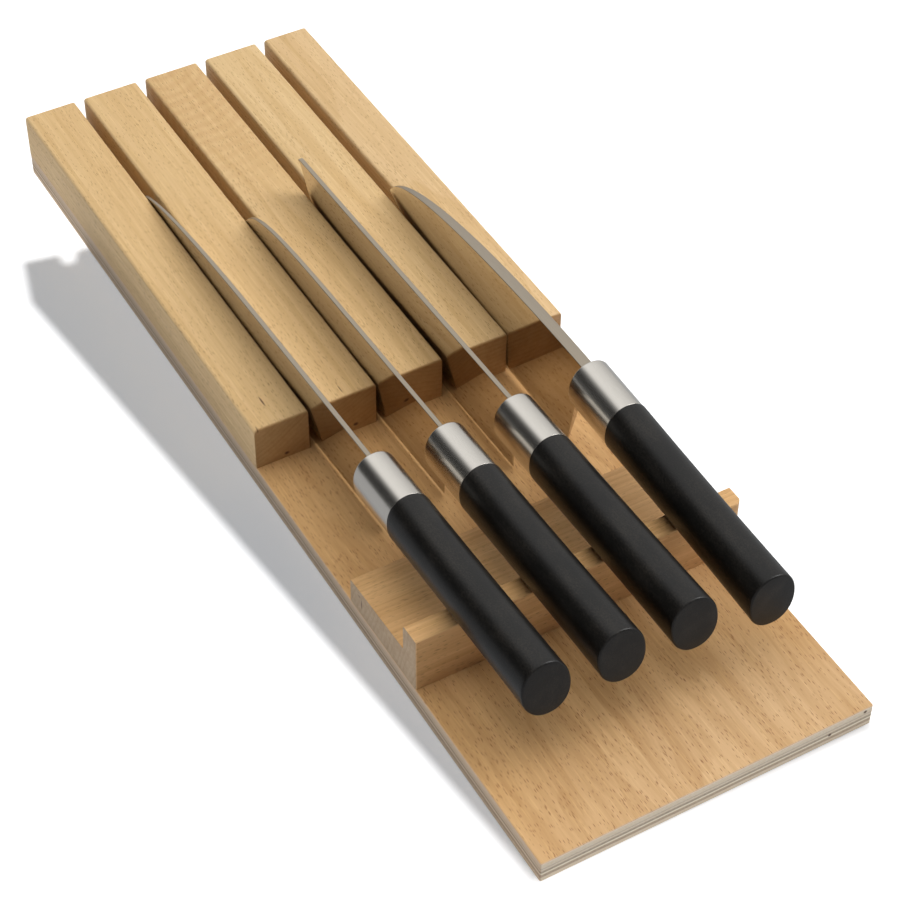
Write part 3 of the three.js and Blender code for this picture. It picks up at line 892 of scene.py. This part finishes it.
@dataclass
class Batten:
    """One batten: a bar with softened top arrises and slightly uneven hand easing."""

    node: str
    finish: BeechFinish
    seed: int
    split_at_front: bool = False
    arris: float = 1.3
    end_radius: float = 1.3
    side_easing: float = 0.3
    unevenness: float = 0.16
    split_depth: float = 0.9
    split_length: float = 1.6
    stations: int = 72

    def rings(self) -> np.ndarray:
        """Works out the batten's rings.

        Each ring is the section at one station along Y: a flat foot, two upright sides, two
        quarter-round arrises of radius a(y) and a flat top. a(y) is the arris radius plus a sum
        of slow sines. Near each end the top falls by the end rounding and the sides by a small
        easing, both growing with nearness to the end face, while the foot stays whole.

        Returns:
            Array of shape (rings, points, 3).
        """
        low, high = (np.array(corner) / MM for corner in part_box(self.node))
        near_end = np.array([0, 0.03, 0.08, 0.15, 0.22, 0.3, 0.42, 0.56, 0.72, 0.9])
        length = high[1] - low[1]
        along = spread(near_end, length, self.stations)
        reach = np.minimum(along, length - along)
        radii = []
        random = np.random.default_rng(self.seed)
        for _ in range(2):
            waves = random.uniform(0.04, 0.5, (4, 1))
            phase = random.uniform(0, 2 * np.pi, (4, 1))
            radii.append(self.arris + self.unevenness * np.sin(waves * along + phase).mean(axis=0))
        if self.split_at_front:
            radii[0] = radii[0] + self.split_depth * np.exp(-(along / self.split_length) ** 2)
        squeeze = rounding(reach, self.side_easing)
        left, right = low[0] + squeeze, high[0] - squeeze
        top = high[2] - rounding(reach, self.end_radius)
        turn = quarter(6)
        sides = np.stack([left, right], axis=1)
        foot = np.stack([sides, np.full_like(sides, low[2])], axis=-1)
        section = np.concatenate([foot, arc(right, top, radii[1], turn),
                                  arc(left, top, radii[0], turn[::-1], -1)], axis=1)
        y = np.broadcast_to((low[1] + along)[:, None], section.shape[:2])
        return np.stack([section[..., 0], y, section[..., 1]], axis=-1)

    def build(self, shop: Workshop) -> None:
        """Builds the batten in place of its CAD node."""
        carve(self.rings(), self.node, "beech", Slot.BEECH, self.finish.make(shop))


@dataclass
class HandleRest:
    """The stepped bar: a sloping tread behind a raised lip, with rounded front corners."""

    finish: BeechFinish
    node: str = "handle_rest"
    lip_height: float = 28.2
    lip_thickness: float = 9.6
    tread_at_step: float = 14.6
    tread_at_back: float = 12.6
    arris: float = 0.9
    fillet: float = 0.8
    left_corner: float = 0.8
    right_corner: float = 3.0
    end_easing: float = 0.25
    end_pull: float = 0.8
    stations: int = 40

    def outline(self, depth: float) -> np.ndarray:
        """The bar's outline seen from the side, as (back from the front face, up).

        It runs from the front foot to the back foot, up the back, along the tread, round the
        fillet, up the lip's back, over its two quarter-round arrises and down its front.

        Args:
            depth: Depth of the bar.

        Returns:
            Array of shape (points, 2).
        """
        turn = quarter(5)
        back = arc(depth, self.tread_at_back, self.arris, turn)
        hollow = np.stack([self.lip_thickness + self.fillet * (1 - np.sin(turn)),
                           self.tread_at_step + self.fillet * (1 - np.cos(turn))], axis=-1)
        lip_back = arc(self.lip_thickness, self.lip_height, self.arris, turn)
        lip_front = arc(0.0, self.lip_height, self.arris, turn[::-1], -1)
        share = np.linspace(0, 1, 8)[1:-1, None]
        tread = back[-1] * (1 - share) + hollow[0] * share
        foot = np.array([[0.0, 0.0], [depth, 0.0]])
        return np.concatenate([foot, back, tread, hollow, lip_back, lip_front])

    def rings(self) -> np.ndarray:
        """Works out the bar's rings.

        The outline is carried along -X to +X. Near an end the front falls back by the plan
        rounding of that corner, which moves only the points in front of that line, and all
        edges of the end face are eased a little.

        Returns:
            Array of shape (rings, points, 3).
        """
        low, high = (np.array(corner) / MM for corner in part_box(self.node))
        depth, length = high[1] - low[1], high[0] - low[0]
        section = self.outline(depth)
        near_end = np.array([0, 0.03, 0.08, 0.16, 0.25, 0.4, 0.6, 0.8, 1.1, 1.5, 2.0, 2.5, 3.0])
        along = spread(near_end, length, self.stations)
        front = rounding(along, self.left_corner) + rounding(length - along, self.right_corner)
        ease = rounding(np.minimum(along, length - along), self.end_easing)
        pull = np.sign(section.mean(axis=0) - section)
        pull[section[:, 1] < 0.01] = 0.0
        points = section[None] + pull[None] * ease[:, None, None] * self.end_pull
        back = np.maximum(points[..., 0], front[:, None])
        x = np.broadcast_to((low[0] + along)[:, None], back.shape)
        return np.stack([x, low[1] + back, low[2] + points[..., 1]], axis=-1)[::-1]

    def build(self, shop: Workshop) -> None:
        """Builds the bar in place of its CAD node."""
        carve(self.rings(), self.node, "beech", Slot.BEECH, self.finish.make(shop))


@dataclass(frozen=True)
class Line:
    """One long side of a blade: straight from start to end, then a cubic curve to the tip.

    `drop` is how much lower the straight stretch starts than it ends.
    """

    height: float
    start: float
    end: float
    reach: float
    pull: tuple[float, float]
    drop: float = 0.0

    def points(self, base: float, tip: np.ndarray, count: int) -> np.ndarray:
        """Points at equal steps of length along the side.

        The straight stretch is followed by (1-t)^3 A + 3(1-t)^2 t B + 3(1-t) t^2 C + t^3 D,
        with A the bend, B the bend moved forward by the reach, C the tip plus the pull and D
        the tip.

        Args:
            base: Distance from the knife's origin to the ferrule's front face.
            tip: The side's end at the tip.
            count: Number of points.

        Returns:
            Array of shape (count, 2), as (along, up).
        """
        bend = np.array([base + self.end, self.height])
        t = np.linspace(0, 1, 1500)[:, None]
        lead, last = bend + [self.reach, 0.0], tip + np.array(self.pull)
        curve = ((1 - t) ** 3 * bend + 3 * (1 - t) ** 2 * t * lead + 3 * (1 - t) * t**2 * last
                 + t**3 * tip)
        path = np.concatenate([[[base + self.start, self.height - self.drop]], curve])
        length = np.concatenate([[0], np.cumsum(np.linalg.norm(np.diff(path, axis=0), axis=1))])
        wanted = np.linspace(0, length[-1], count)
        return np.stack([np.interp(wanted, length, path[:, k]) for k in range(2)], axis=-1)


@dataclass
class KnifeFinishes:
    """The finishes that the four knives share."""

    blade: Material
    ferrule: Material
    grip: Material


@dataclass
class Knife:
    """One knife: a wedge-ground blade with its tang, an oval ferrule and an oval grip."""

    name: str
    origin: Point
    pitch: float
    lean: float
    spine_thickness: float
    tip_thickness: float
    taper: float
    tip: tuple[float, float]
    spine: Line
    edge: Line
    edge_shift: float = 0.0
    ferrule_length: float = 28.8
    ferrule_half: tuple[float, float] = (9.9, 12.2)
    ferrule_rim: float = 1.2
    ferrule_easing: float = 0.12
    wall: float = 1.2
    end_wall: float = 2.4
    gap: float = 0.3
    grip_length: float = 104.0
    grip_step: float = 0.25
    butt_half: tuple[float, float] = (10.5, 12.1)
    butt_cap: float = 5.0
    waist: float = 1.05
    butt_tilt: float = 7.5
    grip_rim: float = 0.9
    tang: tuple[tuple[float, float], ...] = ((-62.0, 4.0), (34.8, 6.0))
    tang_share: float = 0.3
    oval_power: float = 2.15
    oval_sides: int = 128
    stations: int = 220
    bevel_height: float = 0.8
    edge_thickness: float = 0.2
    spine_easing: float = 0.25
    tip_height: float = 0.6
    lean_in: float = 0.5

    def laid(self, points: np.ndarray) -> np.ndarray:
        """Turns points from the knife's own axes into the laid place.

        The pitch lifts the nose about X, then the lean tips the spine about Y, then the
        origin is added.

        Args:
            points: Array whose last axis is x, y, z.

        Returns:
            The same points in the block's axes.
        """
        lean, pitch = -np.radians(self.lean), -self.pitch
        turn = Matrix.Rotation(lean, 3, "Y") @ Matrix.Rotation(pitch, 3, "X")
        return points @ np.array(turn).T + np.array(self.origin)

    def oval(self, along: np.ndarray, half_width: Value, half_height: Value,
             tilt: Value = 0.0) -> np.ndarray:
        """Rings of a rounded oval across the knife.

        A point at angle a lies at (w s cos a, y + h s sin a tan t, h s sin a), where the swell
        s is (|cos a|^p + |sin a|^p)^(-1/p), w and h are the half sizes, t the tilt and p the
        power: 2 gives a true ellipse, and more gives fuller shoulders.

        Args:
            along: Place of each ring along the knife.
            half_width: Half width of each ring.
            half_height: Half height of each ring.
            tilt: Angle in radians that carries the ring's top forward.

        Returns:
            Array of shape (rings, sides, 3).
        """
        angle = np.linspace(0.0, 2 * np.pi, self.oval_sides, endpoint=False)
        across, up = np.cos(angle), np.sin(angle)
        swell = (np.abs(across)**self.oval_power + np.abs(up)**self.oval_power)
        swell = swell ** (-1.0 / self.oval_power)
        along, half_width, half_height, tilt = (
            value[:, None] for value in np.broadcast_arrays(along, half_width, half_height, tilt))
        z = half_height * (swell * up)[None]
        return np.stack([half_width * (swell * across)[None], along + z * np.tan(tilt), z], axis=-1)

    def blade_rings(self) -> tuple[np.ndarray, np.ndarray, list[int]]:
        """Works out the blade's rings.

        Station i joins a point E of the edge line to a point S of the spine line by a straight
        ruling. The half thickness there is lerp(spine, tip, s^taper) / 2 at the top. Up the
        ruling it grows in a line from the end of the bevel, and the spine's corners are
        quarter-rounds. Where the edge line drops towards the heel, the edge leans in by a
        share of the drop. The edge shift sets the whole edge over to the left, less where the
        blade is less deep.

        Returns:
            The rings, one mark per ring point (1 on the spine, 0 on bevel and faces) and the
            ring points whose lines are sharp.
        """
        tip = np.array(self.tip) + [self.ferrule_length, 0.0]
        half_tip = [0, self.tip_height / 2]
        spine = self.spine.points(self.ferrule_length, tip + half_tip, self.stations)
        edge = self.edge.points(self.ferrule_length, tip - half_tip, self.stations)
        height = np.linalg.norm(spine - edge, axis=1)
        share = np.linspace(0, 1, self.stations)
        thinning = (self.tip_thickness - self.spine_thickness) * share**self.taper
        half = (self.spine_thickness + thinning) / 2
        bevel = np.minimum(self.bevel_height / height, 0.4)
        easing = np.minimum(self.spine_easing / height, 0.2)
        half_edge = self.edge_thickness / 2
        at_bevel = half_edge + (half - half_edge) * bevel * 3
        rise = np.linspace(0, 1, 8)[None]
        face_up = bevel[:, None] + (1 - easing - bevel)[:, None] * rise
        face_half = at_bevel[:, None] + (half - at_bevel)[:, None] * rise
        turn = quarter(6)[None, 1:]
        round_up = 1 - easing[:, None] * (1 - np.sin(turn))
        round_half = half[:, None] - self.spine_easing * (1 - np.cos(turn))
        ups = np.concatenate([np.zeros_like(half)[:, None], face_up, round_up], axis=1)
        halves = np.concatenate(
            [np.full_like(half, half_edge)[:, None], face_half, round_half], axis=1)
        count, face_top = ups.shape[1], face_up.shape[1]
        ups = np.concatenate([ups, ups[:, ::-1]], axis=1)
        halves = np.concatenate([halves, -halves[:, ::-1]], axis=1)
        side = edge[:, None] * (1 - ups)[..., None] + spine[:, None] * ups[..., None]
        lean_in = self.lean_in * np.clip(self.edge.height - edge[:, 1:], 0, None)
        lean_in = lean_in - self.edge_shift * (height / height.max())[:, None]
        rings = np.concatenate([(halves + lean_in * (1 - ups))[..., None], side], axis=-1)
        mark = (np.arange(count) > face_top).astype(float)
        near = np.array([0, 1, face_top])
        return rings, np.concatenate([mark, mark[::-1]]), [*near, *(2 * count - 1 - near)]

    def tang_rings(self) -> np.ndarray:
        """The tang: a slab of 0.6 of the spine's thickness that narrows towards its end."""
        half = self.tang_share * self.spine_thickness
        along, high = np.array(self.tang).T[..., None]
        across, up = np.array([half, half, -half, -half]), np.array([-1, 1, 1, -1])
        return np.stack(np.broadcast_arrays(across, along, high * up), axis=-1)

    def ferrule_rings(self) -> np.ndarray:
        """The ferrule's rings: up its bore, round its open end, along its outside to the rim.

        The rim is a quarter-round of the rim radius. The last ring is inside the front face,
        which is flat.

        Returns:
            Array of shape (rings, points, 3).
        """
        turn, open_end = quarter(8)[1:], quarter(3)
        length, rim, wall, easing = (
            self.ferrule_length, self.ferrule_rim, self.wall, self.ferrule_easing)
        bore_end = length - self.end_wall
        along = np.concatenate([
            [bore_end, bore_end, 0.15, 0.0], easing * (1 - np.cos(open_end)),
            np.linspace(0.3, length - rim, 14), length - rim * (1 - np.sin(turn)), [length]])
        inset = np.concatenate([
            [wall + 6, wall, wall, wall - 0.15], easing * (1 - np.sin(open_end)), np.zeros(14),
            rim * (1 - np.cos(turn)), [rim + 4.5]])
        return self.oval(along, self.ferrule_half[0] - inset, self.ferrule_half[1] - inset)

    def grip_rings(self) -> np.ndarray:
        """The grip's rings, from its butt to the end of its tenon.

        The half height is lerp(joint, butt, s) - 4 waist s (1 - s) with s the share of the way
        to the butt, and the half width is a straight lerp. The butt's plane leans by the tilt,
        which fades to nothing at the joint. The tenon fills the ferrule's bore.

        Returns:
            Array of shape (rings, points, 3).
        """
        rim, lip = quarter(8)[::-1], quarter(3)[1:]
        start, lip_radius = self.grip_rim - self.grip_length, self.grip_step
        rim_along = start - self.grip_rim * np.sin(rim)
        share = np.linspace(0, 1, 60)[1:]
        body_along = start * (1 - share) + (-self.gap - lip_radius) * share
        lip_along = -self.gap - lip_radius * (1 - np.sin(lip))
        along = np.concatenate([rim_along, body_along, lip_along])
        inset = np.concatenate([self.grip_rim * (1 - np.cos(rim)), np.zeros_like(body_along),
                                lip_radius * (1 - np.cos(lip))])
        fade = np.concatenate([np.zeros_like(rim_along), share, np.ones_like(lip_along)])
        way = np.clip(-along / self.grip_length, 0, 1)
        width, height = (joint + self.grip_step + (butt - joint - self.grip_step) * way
                         for joint, butt in zip(self.ferrule_half, self.butt_half))
        height = height - 4 * self.waist * way * (1 - way)
        tilt = np.radians(self.butt_tilt) * (1 - fade)
        shell = self.oval(along, width - inset, height - inset, tilt)
        cap = self.oval(along[:1], width[0] - self.butt_cap, height[0] - self.butt_cap, tilt[0])
        spare = self.wall + self.gap
        tenon = self.oval([-self.gap, self.ferrule_length - self.end_wall - self.gap],
                          self.ferrule_half[0] - spare, self.ferrule_half[1] - spare)
        return np.concatenate([cap, shell, tenon])

    def build(self, finishes: KnifeFinishes) -> None:
        """Builds the three pieces of the knife in place of their CAD nodes.

        Args:
            finishes: Materials of the pieces.
        """
        rings, mark, sharp = self.blade_rings()
        blade, ferrule, grip = Skin(), Skin(), Skin()
        blade.add_rings(self.laid(rings), sharp, mark)
        blade.add_rings(self.laid(self.tang_rings()))
        ferrule.add_rings(self.laid(self.ferrule_rings()))
        grip.add_rings(self.laid(self.grip_rings()))
        for part, skin, slot, material, angle in (
                ("blade", blade, Slot.BLADE, finishes.blade, 22.0),
                ("ferrule", ferrule, Slot.FERRULE, finishes.ferrule, 40.0),
                ("handle", grip, Slot.GRIP, finishes.grip, 40.0)):
            node = f"{self.name}_{part}"
            place(skin.build(node + "_fine", angle), self.name, node, slot, material)


@dataclass
class Screw:
    """A countersunk wood screw with a cross recess and a thread, driven up from below."""

    node: str
    head_radius: float = 3.4
    head_height: float = 2.3
    shank_radius: float = 1.75
    shank_end: float = 11.0
    core_radius: float = 1.2
    crest_radius: float = 1.62
    pitch: float = 2.0
    point_length: float = 3.0
    arm_half_width: float = 0.5
    arm_length: float = 1.9
    recess_depth: float = 1.5

    def rings(self) -> np.ndarray:
        """Works out the screw's rings, from the recess's floor over the head to the point.

        The recess is a cross: its outline at angle a from the nearest arm is at the radius
        min(l / cos a, w / sin a). The thread's radius runs from core to crest with
        1 - |2 f - 1| to the power 1.5, where f is the part after the point of
        z / pitch + a / full turn.

        Returns:
            Array of shape (rings, points, 3).
        """
        low, high = (np.array(corner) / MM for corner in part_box(self.node))
        middle, foot, top = (low + high) / 2, low[2], high[2]
        corner = np.arctan2(self.arm_half_width, self.arm_length)
        eighth = np.concatenate([np.linspace(0, corner, 3), np.linspace(corner, np.pi / 4, 5)[1:]])
        quarter_turn = np.concatenate([eighth, np.pi / 2 - eighth[-2:0:-1]])
        angle = np.concatenate([quarter_turn + k * np.pi / 2 for k in range(4)])
        off_arm = np.abs((angle + np.pi / 4) % (np.pi / 2) - np.pi / 4)
        cross = np.minimum(self.arm_length / np.cos(off_arm),
                           self.arm_half_width / np.sin(np.maximum(off_arm, 1e-6)))
        round_rows = (
            (foot, self.head_radius - 0.15), (foot + 0.08, self.head_radius - 0.03),
            (foot + 0.2, self.head_radius), (foot + self.head_height, self.shank_radius),
            (self.shank_end - 0.3, self.shank_radius), (self.shank_end, self.core_radius))
        rows = [(foot + self.recess_depth, cross * 0.62), (foot + 0.05, cross),
                (foot, cross * 1.03), *((z, np.full_like(angle, r)) for z, r in round_rows)]
        thread_z = np.arange(self.shank_end + 0.3, top, self.pitch / 7)
        phase = (thread_z[:, None] / self.pitch + angle[None] / (2 * np.pi)) % 1.0
        crest = (1 - np.abs(2 * phase - 1)) ** 1.5
        thread = self.core_radius + (self.crest_radius - self.core_radius) * crest
        thread = thread * np.clip((top - thread_z) / self.point_length, 0.06, 1.0)[:, None]
        z = np.concatenate([[row[0] for row in rows], thread_z, [top]])
        radius = np.concatenate(
            [np.stack([row[1] for row in rows]), thread, np.full((1, len(angle)), 0.05)])
        x, y = middle[0] + radius * np.cos(angle), middle[1] - radius * np.sin(angle)
        return np.stack([x, y, np.broadcast_to(z[:, None], x.shape)], axis=-1)

    def build(self, zinc: Material) -> None:
        """Builds the screw in place of its CAD node."""
        carve(self.rings(), self.node, "threaded", Slot.SCREW, zinc)


# ---------------------------------------------------------------- studio


def only(name: str, member: Object) -> bpy.types.Collection:
    """Makes a collection of one object, for light linking.

    Args:
        name: Name of the collection.
        member: The object.

    Returns:
        The collection.
    """
    made = bpy.data.collections.new(name)
    made.objects.link(member)
    return made


@dataclass
class Studio:
    """Floor, light and camera.

    The camera's place and turn put the board's corners where the photograph has them. Each lamp
    has a name, the direction towards it, its strength, its apparent size in degrees and its
    tint. The mirrored sky is a level for each angle in degrees from straight up towards +X.
    """

    camera_place: Point = (-359.0, -659.1, 736.4)
    camera_right: Point = (0.86801958, -0.49649634, 0.00577849)
    camera_down: Point = (-0.34915803, -0.61862119, -0.70384409)
    camera_forward: Point = (0.35303071, 0.60893284, -0.71033099)
    focal_share: float = 2402.48 / 900
    sensor_width: float = 36.0
    lamps: tuple[tuple[str, Point, float, float, Color], ...] = (
        ("key", (0.685, -0.235, 0.690), 1.50, 38.0, (1.0, 1.0, 1.01)),
        ("top", (0.060, 0.160, 0.985), 2.06, 62.0, (1.0, 0.965, 0.87)),
        ("left", (-0.985, 0.0, 0.17), 0.92, 40.0, (0.86, 1.0, 1.22)))
    floor_lamp_strength: float = 3.5
    floor_lamp_angle: float = 0.2
    flag_height: float = 2000.0
    flag: tuple[tuple[float, float], ...] = (
        (-105.7, 177.7), (-87.6, 174.1), (-88.9, 167.5), (-85.3, 165.4), (-80.3, 173.3),
        (-72.6, 172.3), (-49.9, 167.8), (70.0, 150.0), (75.0, -239.5), (-77.0, -237.0),
        (-113.7, 149.3))
    mirror_sky: tuple[tuple[float, float], ...] = (
        (-180, 0.30), (-120, 0.25), (-90, 0.12), (-75, 0.06), (-55, 0.04), (-40, 0.08),
        (-26, 0.35), (-14, 0.95), (0, 1.08), (20, 1.0), (45, 0.87), (70, 0.70), (95, 0.60),
        (180, 0.30))
    mirror_front: Color = (0.35, 0.34, 0.33)
    sky_light: Color = (0.03, 0.03, 0.03)
    floor_half: float = 6.0
    floor_depth: float = -0.0001
    floor_mirrored: Color = (0.10, 0.10, 0.10)
    floor_glow: float = 0.385

    def camera(self) -> None:
        """Sets up the camera."""
        data = bpy.data.cameras.new("camera")
        data.sensor_fit = "HORIZONTAL"
        data.sensor_width = self.sensor_width
        data.lens = self.sensor_width * self.focal_share
        data.clip_start, data.clip_end = 0.01, 50.0
        camera = add_object("camera", data)
        right, down, ahead = (Vector(v).normalized() for v in (
            self.camera_right, self.camera_down, self.camera_forward))
        turn = Matrix((right, -down, -ahead)).transposed().to_4x4()
        camera.matrix_world = Matrix.Translation(Vector(self.camera_place) * MM) @ turn
        bpy.context.scene.camera = camera

    def floor(self) -> Object:
        """Lays a white floor, paler to the camera than to the pieces that mirror it."""
        half, down = self.floor_half, self.floor_depth
        corners = [(-half, -half, down), (half, -half, down), (half, half, down),
                   (-half, half, down)]
        mesh = bpy.data.meshes.new("floor")
        mesh.from_pydata(corners, [], [(0, 1, 2, 3)])
        floor = add_object("floor", mesh)
        material, sheet, shader = new_material("floor_white")
        coords, path = sheet.node("TexCoord", {}), sheet.node("LightPath", {})
        cloud = sheet.noise(sheet.scaled(coords["Object"], 9.0, 9.0, 9.0), detail=1.0)
        color = sheet.blend(cloud, (0.79, 0.79, 0.79), (0.81, 0.81, 0.81))
        color = sheet.blend(path["Is Glossy Ray"], color, self.floor_mirrored)
        seen = sheet.math("ADD", path["Is Camera Ray"], path["Is Glossy Ray"])
        seen = sheet.math("ADD", seen, path["Is Transmission Ray"], clamp=True)
        sheet.fill(shader, {
            "Base Color": color, "Roughness": 0.9, "Specular IOR Level": 0.0,
            "Emission Color": (0.97, 1.0, 1.04, 1.0),
            "Emission Strength": sheet.times(seen, self.floor_glow)})
        mesh.materials.append(material)
        return floor

    def sky(self) -> None:
        """Sets the sky.

        It is white to the camera. Pieces that mirror it see it bright above and to the right
        and dark to the left, as in a room with one large window, and it gives hardly any light
        of its own.
        """
        world = bpy.data.worlds.new("studio")
        bpy.context.scene.world = world
        world.use_nodes = True
        sheet = Sheet(world.node_tree)
        toward = sheet.node("SeparateXYZ", {0: sheet.node("TexCoord", {})["Generated"]})
        angle = sheet.math("ARCTAN2", toward["X"], toward["Z"])
        share = sheet.affine(angle, 0.5 / np.pi, 0.5)
        stops = [(at / 360 + 0.5, (level,) * 3) for at, level in self.mirror_sky]
        front = sheet.step(toward["Y"], -0.2, -0.8)
        mirrored = sheet.blend(front, sheet.ramp(share, stops), self.mirror_front)
        path = sheet.node("LightPath", {})
        color = sheet.blend(path["Is Glossy Ray"], self.sky_light, mirrored)
        seen = sheet.math("ADD", path["Is Camera Ray"], path["Is Transmission Ray"], clamp=True)
        sheet.fill(world.node_tree.nodes["Background"], {"Color": sheet.blend(seen, color, WHITE)})

    def light(self, floor: Object) -> None:
        """Sets the lamps of the object and the lamp of the floor with its flag.

        The floor's shadow in the photograph is a flat wedge: a flag high over the block shades
        the floor alone in that form, and the object's own lamps leave the floor out.

        Args:
            floor: The floor.
        """
        all_but_floor = only("all_but_floor", floor)
        all_but_floor.collection_objects[0].light_linking.link_state = "EXCLUDE"
        for name, toward, strength, width, tint in self.lamps:
            lamp = self.sun(name, toward, strength, width)
            lamp.data.color = tint
            lamp.visible_glossy = name == "key"
            lamp.light_linking.receiver_collection = all_but_floor
        outline = [(x * MM, y * MM, self.flag_height * MM) for x, y in self.flag]
        mesh = bpy.data.meshes.new("flag")
        mesh.from_pydata(outline, [], [tuple(range(len(outline)))])
        flag = add_object("flag", mesh)
        material, sheet, shader = new_material("flag_black")
        cloth = sheet.noise(sheet.scaled(sheet.node("TexCoord", {})["Object"], 900.0, 900.0, 900.0))
        color = sheet.blend(cloth, (0.01, 0.01, 0.01), (0.02, 0.02, 0.02))
        sheet.fill(shader, {"Base Color": color, "Roughness": 0.9})
        mesh.materials.append(material)
        for ray in ("camera", "diffuse", "glossy", "transmission"):
            setattr(flag, "visible_" + ray, False)
        lamp = self.sun("floor_lamp", (0.0, 0.0, 1.0), self.floor_lamp_strength,
                        self.floor_lamp_angle)
        lamp.visible_glossy = False
        lamp.light_linking.receiver_collection = only("floor_only", floor)
        lamp.light_linking.blocker_collection = only("flag_only", flag)

    @staticmethod
    def sun(name: str, toward: Point, strength: float, angle: float) -> Object:
        """Adds a lamp whose light comes from far away.

        Args:
            name: Name of the lamp.
            toward: Direction from the object to the lamp.
            strength: Its power for each square metre.
            angle: Its apparent size in degrees.

        Returns:
            The lamp.
        """
        data = bpy.data.lights.new(name, "SUN")
        data.energy = strength
        data.angle = np.radians(angle)
        lamp = add_object(name, data)
        lamp.matrix_world = Vector(toward).to_track_quat("Z", "Y").to_matrix().to_4x4()
        return lamp

    def build(self) -> None:
        """Sets up the whole studio."""
        self.camera()
        floor = self.floor()
        self.sky()
        self.light(floor)
        bpy.context.scene.view_settings.view_transform = "Standard"


# ---------------------------------------------------------------- the knife block


def battens() -> list[Batten]:
    """The five battens, each from its own place in the log and with its own marks."""
    rows = (
        ((95.0, 40.0, -75.0), {"fleck_strength": 0.9, "marks": (
            ((-64.1, 7.5, 33.2), (0.5, 4.2, 0.6)), ((-73.2, -5.6, 32.2), (0.45, 2.2, 1.6)),
            ((-60.5, -6.8, 13.4), (1.5, 0.8, 1.1)))}),
        ((60.0, 310.0, -96.0), {"fleck_strength": 0.95, "marks": (
            ((-32.0, -1.9, 33.2), (0.3, 3.2, 0.5)), ((-27.4, -6.8, 14.4), (1.6, 0.8, 1.2)))}),
        ((18.0, 120.0, 52.0), {
            "fleck_strength": 1.0, "waviness": 9.0, "curl": (-4.0, 250.0, 33.2)}),
        ((-40.0, 520.0, -88.0), {"fleck_strength": 0.85, "pale": (0.74, 0.535, 0.292)}),
        ((-60.0, 700.0, 77.0), {"fleck_strength": 0.8, "pale": (0.745, 0.53, 0.30)}))
    return [Batten(f"batten_{k}", BeechFinish(f"beech_batten_{k}", pith=pith, **look), 10 + k,
                   split_at_front=k == 1) for k, (pith, look) in enumerate(rows, 1)]


def knives() -> list[Knife]:
    """The four knives with the places where they lie and their own blade lines."""
    return [
        Knife("knife_1", (-49.86484, -94.3, 49.11004), 0.05149836, 3.9, 2.2, 1.3, 3.0,
              (223.5, -5.2), Line(8.5, 0.3, 95, 55, (-23.5, 9.7)),
              Line(-30.9, 3.4, 92, 65, (-20, -16), 4.3)),
        Knife("knife_2", (-17.25457, -94.3, 49.39397), 0.04359411, 2.9, 2.1, 1.5, 3.0,
              (190.5, -24.0), Line(8.7, 0.3, 70, 88, (-6.5, 32)),
              Line(-32.5, 7.8, 78, 40, (-25, -6), 3.0)),
        Knife("knife_3", (15.04478, -94.2, 49.76586), 0.03262889, 3.6, 2.2, 2.0, 3.0,
              (189.6, 8.2), Line(8.9, 0.3, 186, 2, (-0.5, 0.4)),
              Line(-32.7, 6.8, 150, 28, (-3, -20), 3.9)),
        Knife("knife_4", (49.44328, -96.1, 52.56716), -0.03483347, -0.4, 5.3, 1.1, 3.6,
              (168.0, -24.0), Line(8.2, 0.3, 3, 15, (-16, 29.4)),
              Line(-42.6, 8.7, 55, 36, (-8.6, -9.4)), edge_shift=1.3)]


def rest() -> HandleRest:
    """The bar under the handles, with two checks in its left end. Its tint, redder than the
    battens', is partly the wood's own and partly painted warm shade from the handles over it.
    """
    return HandleRest(BeechFinish(
        # Partly painted shade: pale and deep are redder and more saturated than the battens', for
        # the shade under the handles.
        "beech_handle_rest", pale=(0.74, 0.455, 0.215), deep=(0.55, 0.305, 0.125),
        pith=(0.0, 60.0, -64.0), grain=Axis.ALONG_X, end_tint=(0.66, 0.76, 1.0),
        end_ring_strength=0.3, marks=(((-75.0, -100.5, 17.5), (0.6, 0.5, 3.6)),
                                      ((-75.0, -98.6, 20.6), (0.6, 1.0, 0.5)))))


def main() -> None:
    logging.basicConfig(level=logging.INFO, format="%(message)s")
    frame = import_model()
    shop = Workshop()
    Studio().build()
    Board().build(frame, shop)
    for batten in battens():
        batten.build(shop)
    rest().build(shop)
    finishes = KnifeFinishes(
        *(finish.make(shop) for finish in (BladeFinish(), FerruleFinish(), GripFinish())))
    for knife in knives():
        knife.build(finishes)
    zinc = ZincFinish().make(shop)
    for name in sorted(frame["nodes"]):
        if "screw" in name:
            Screw(name).build(zinc)


if __name__ == "__main__":
    main()
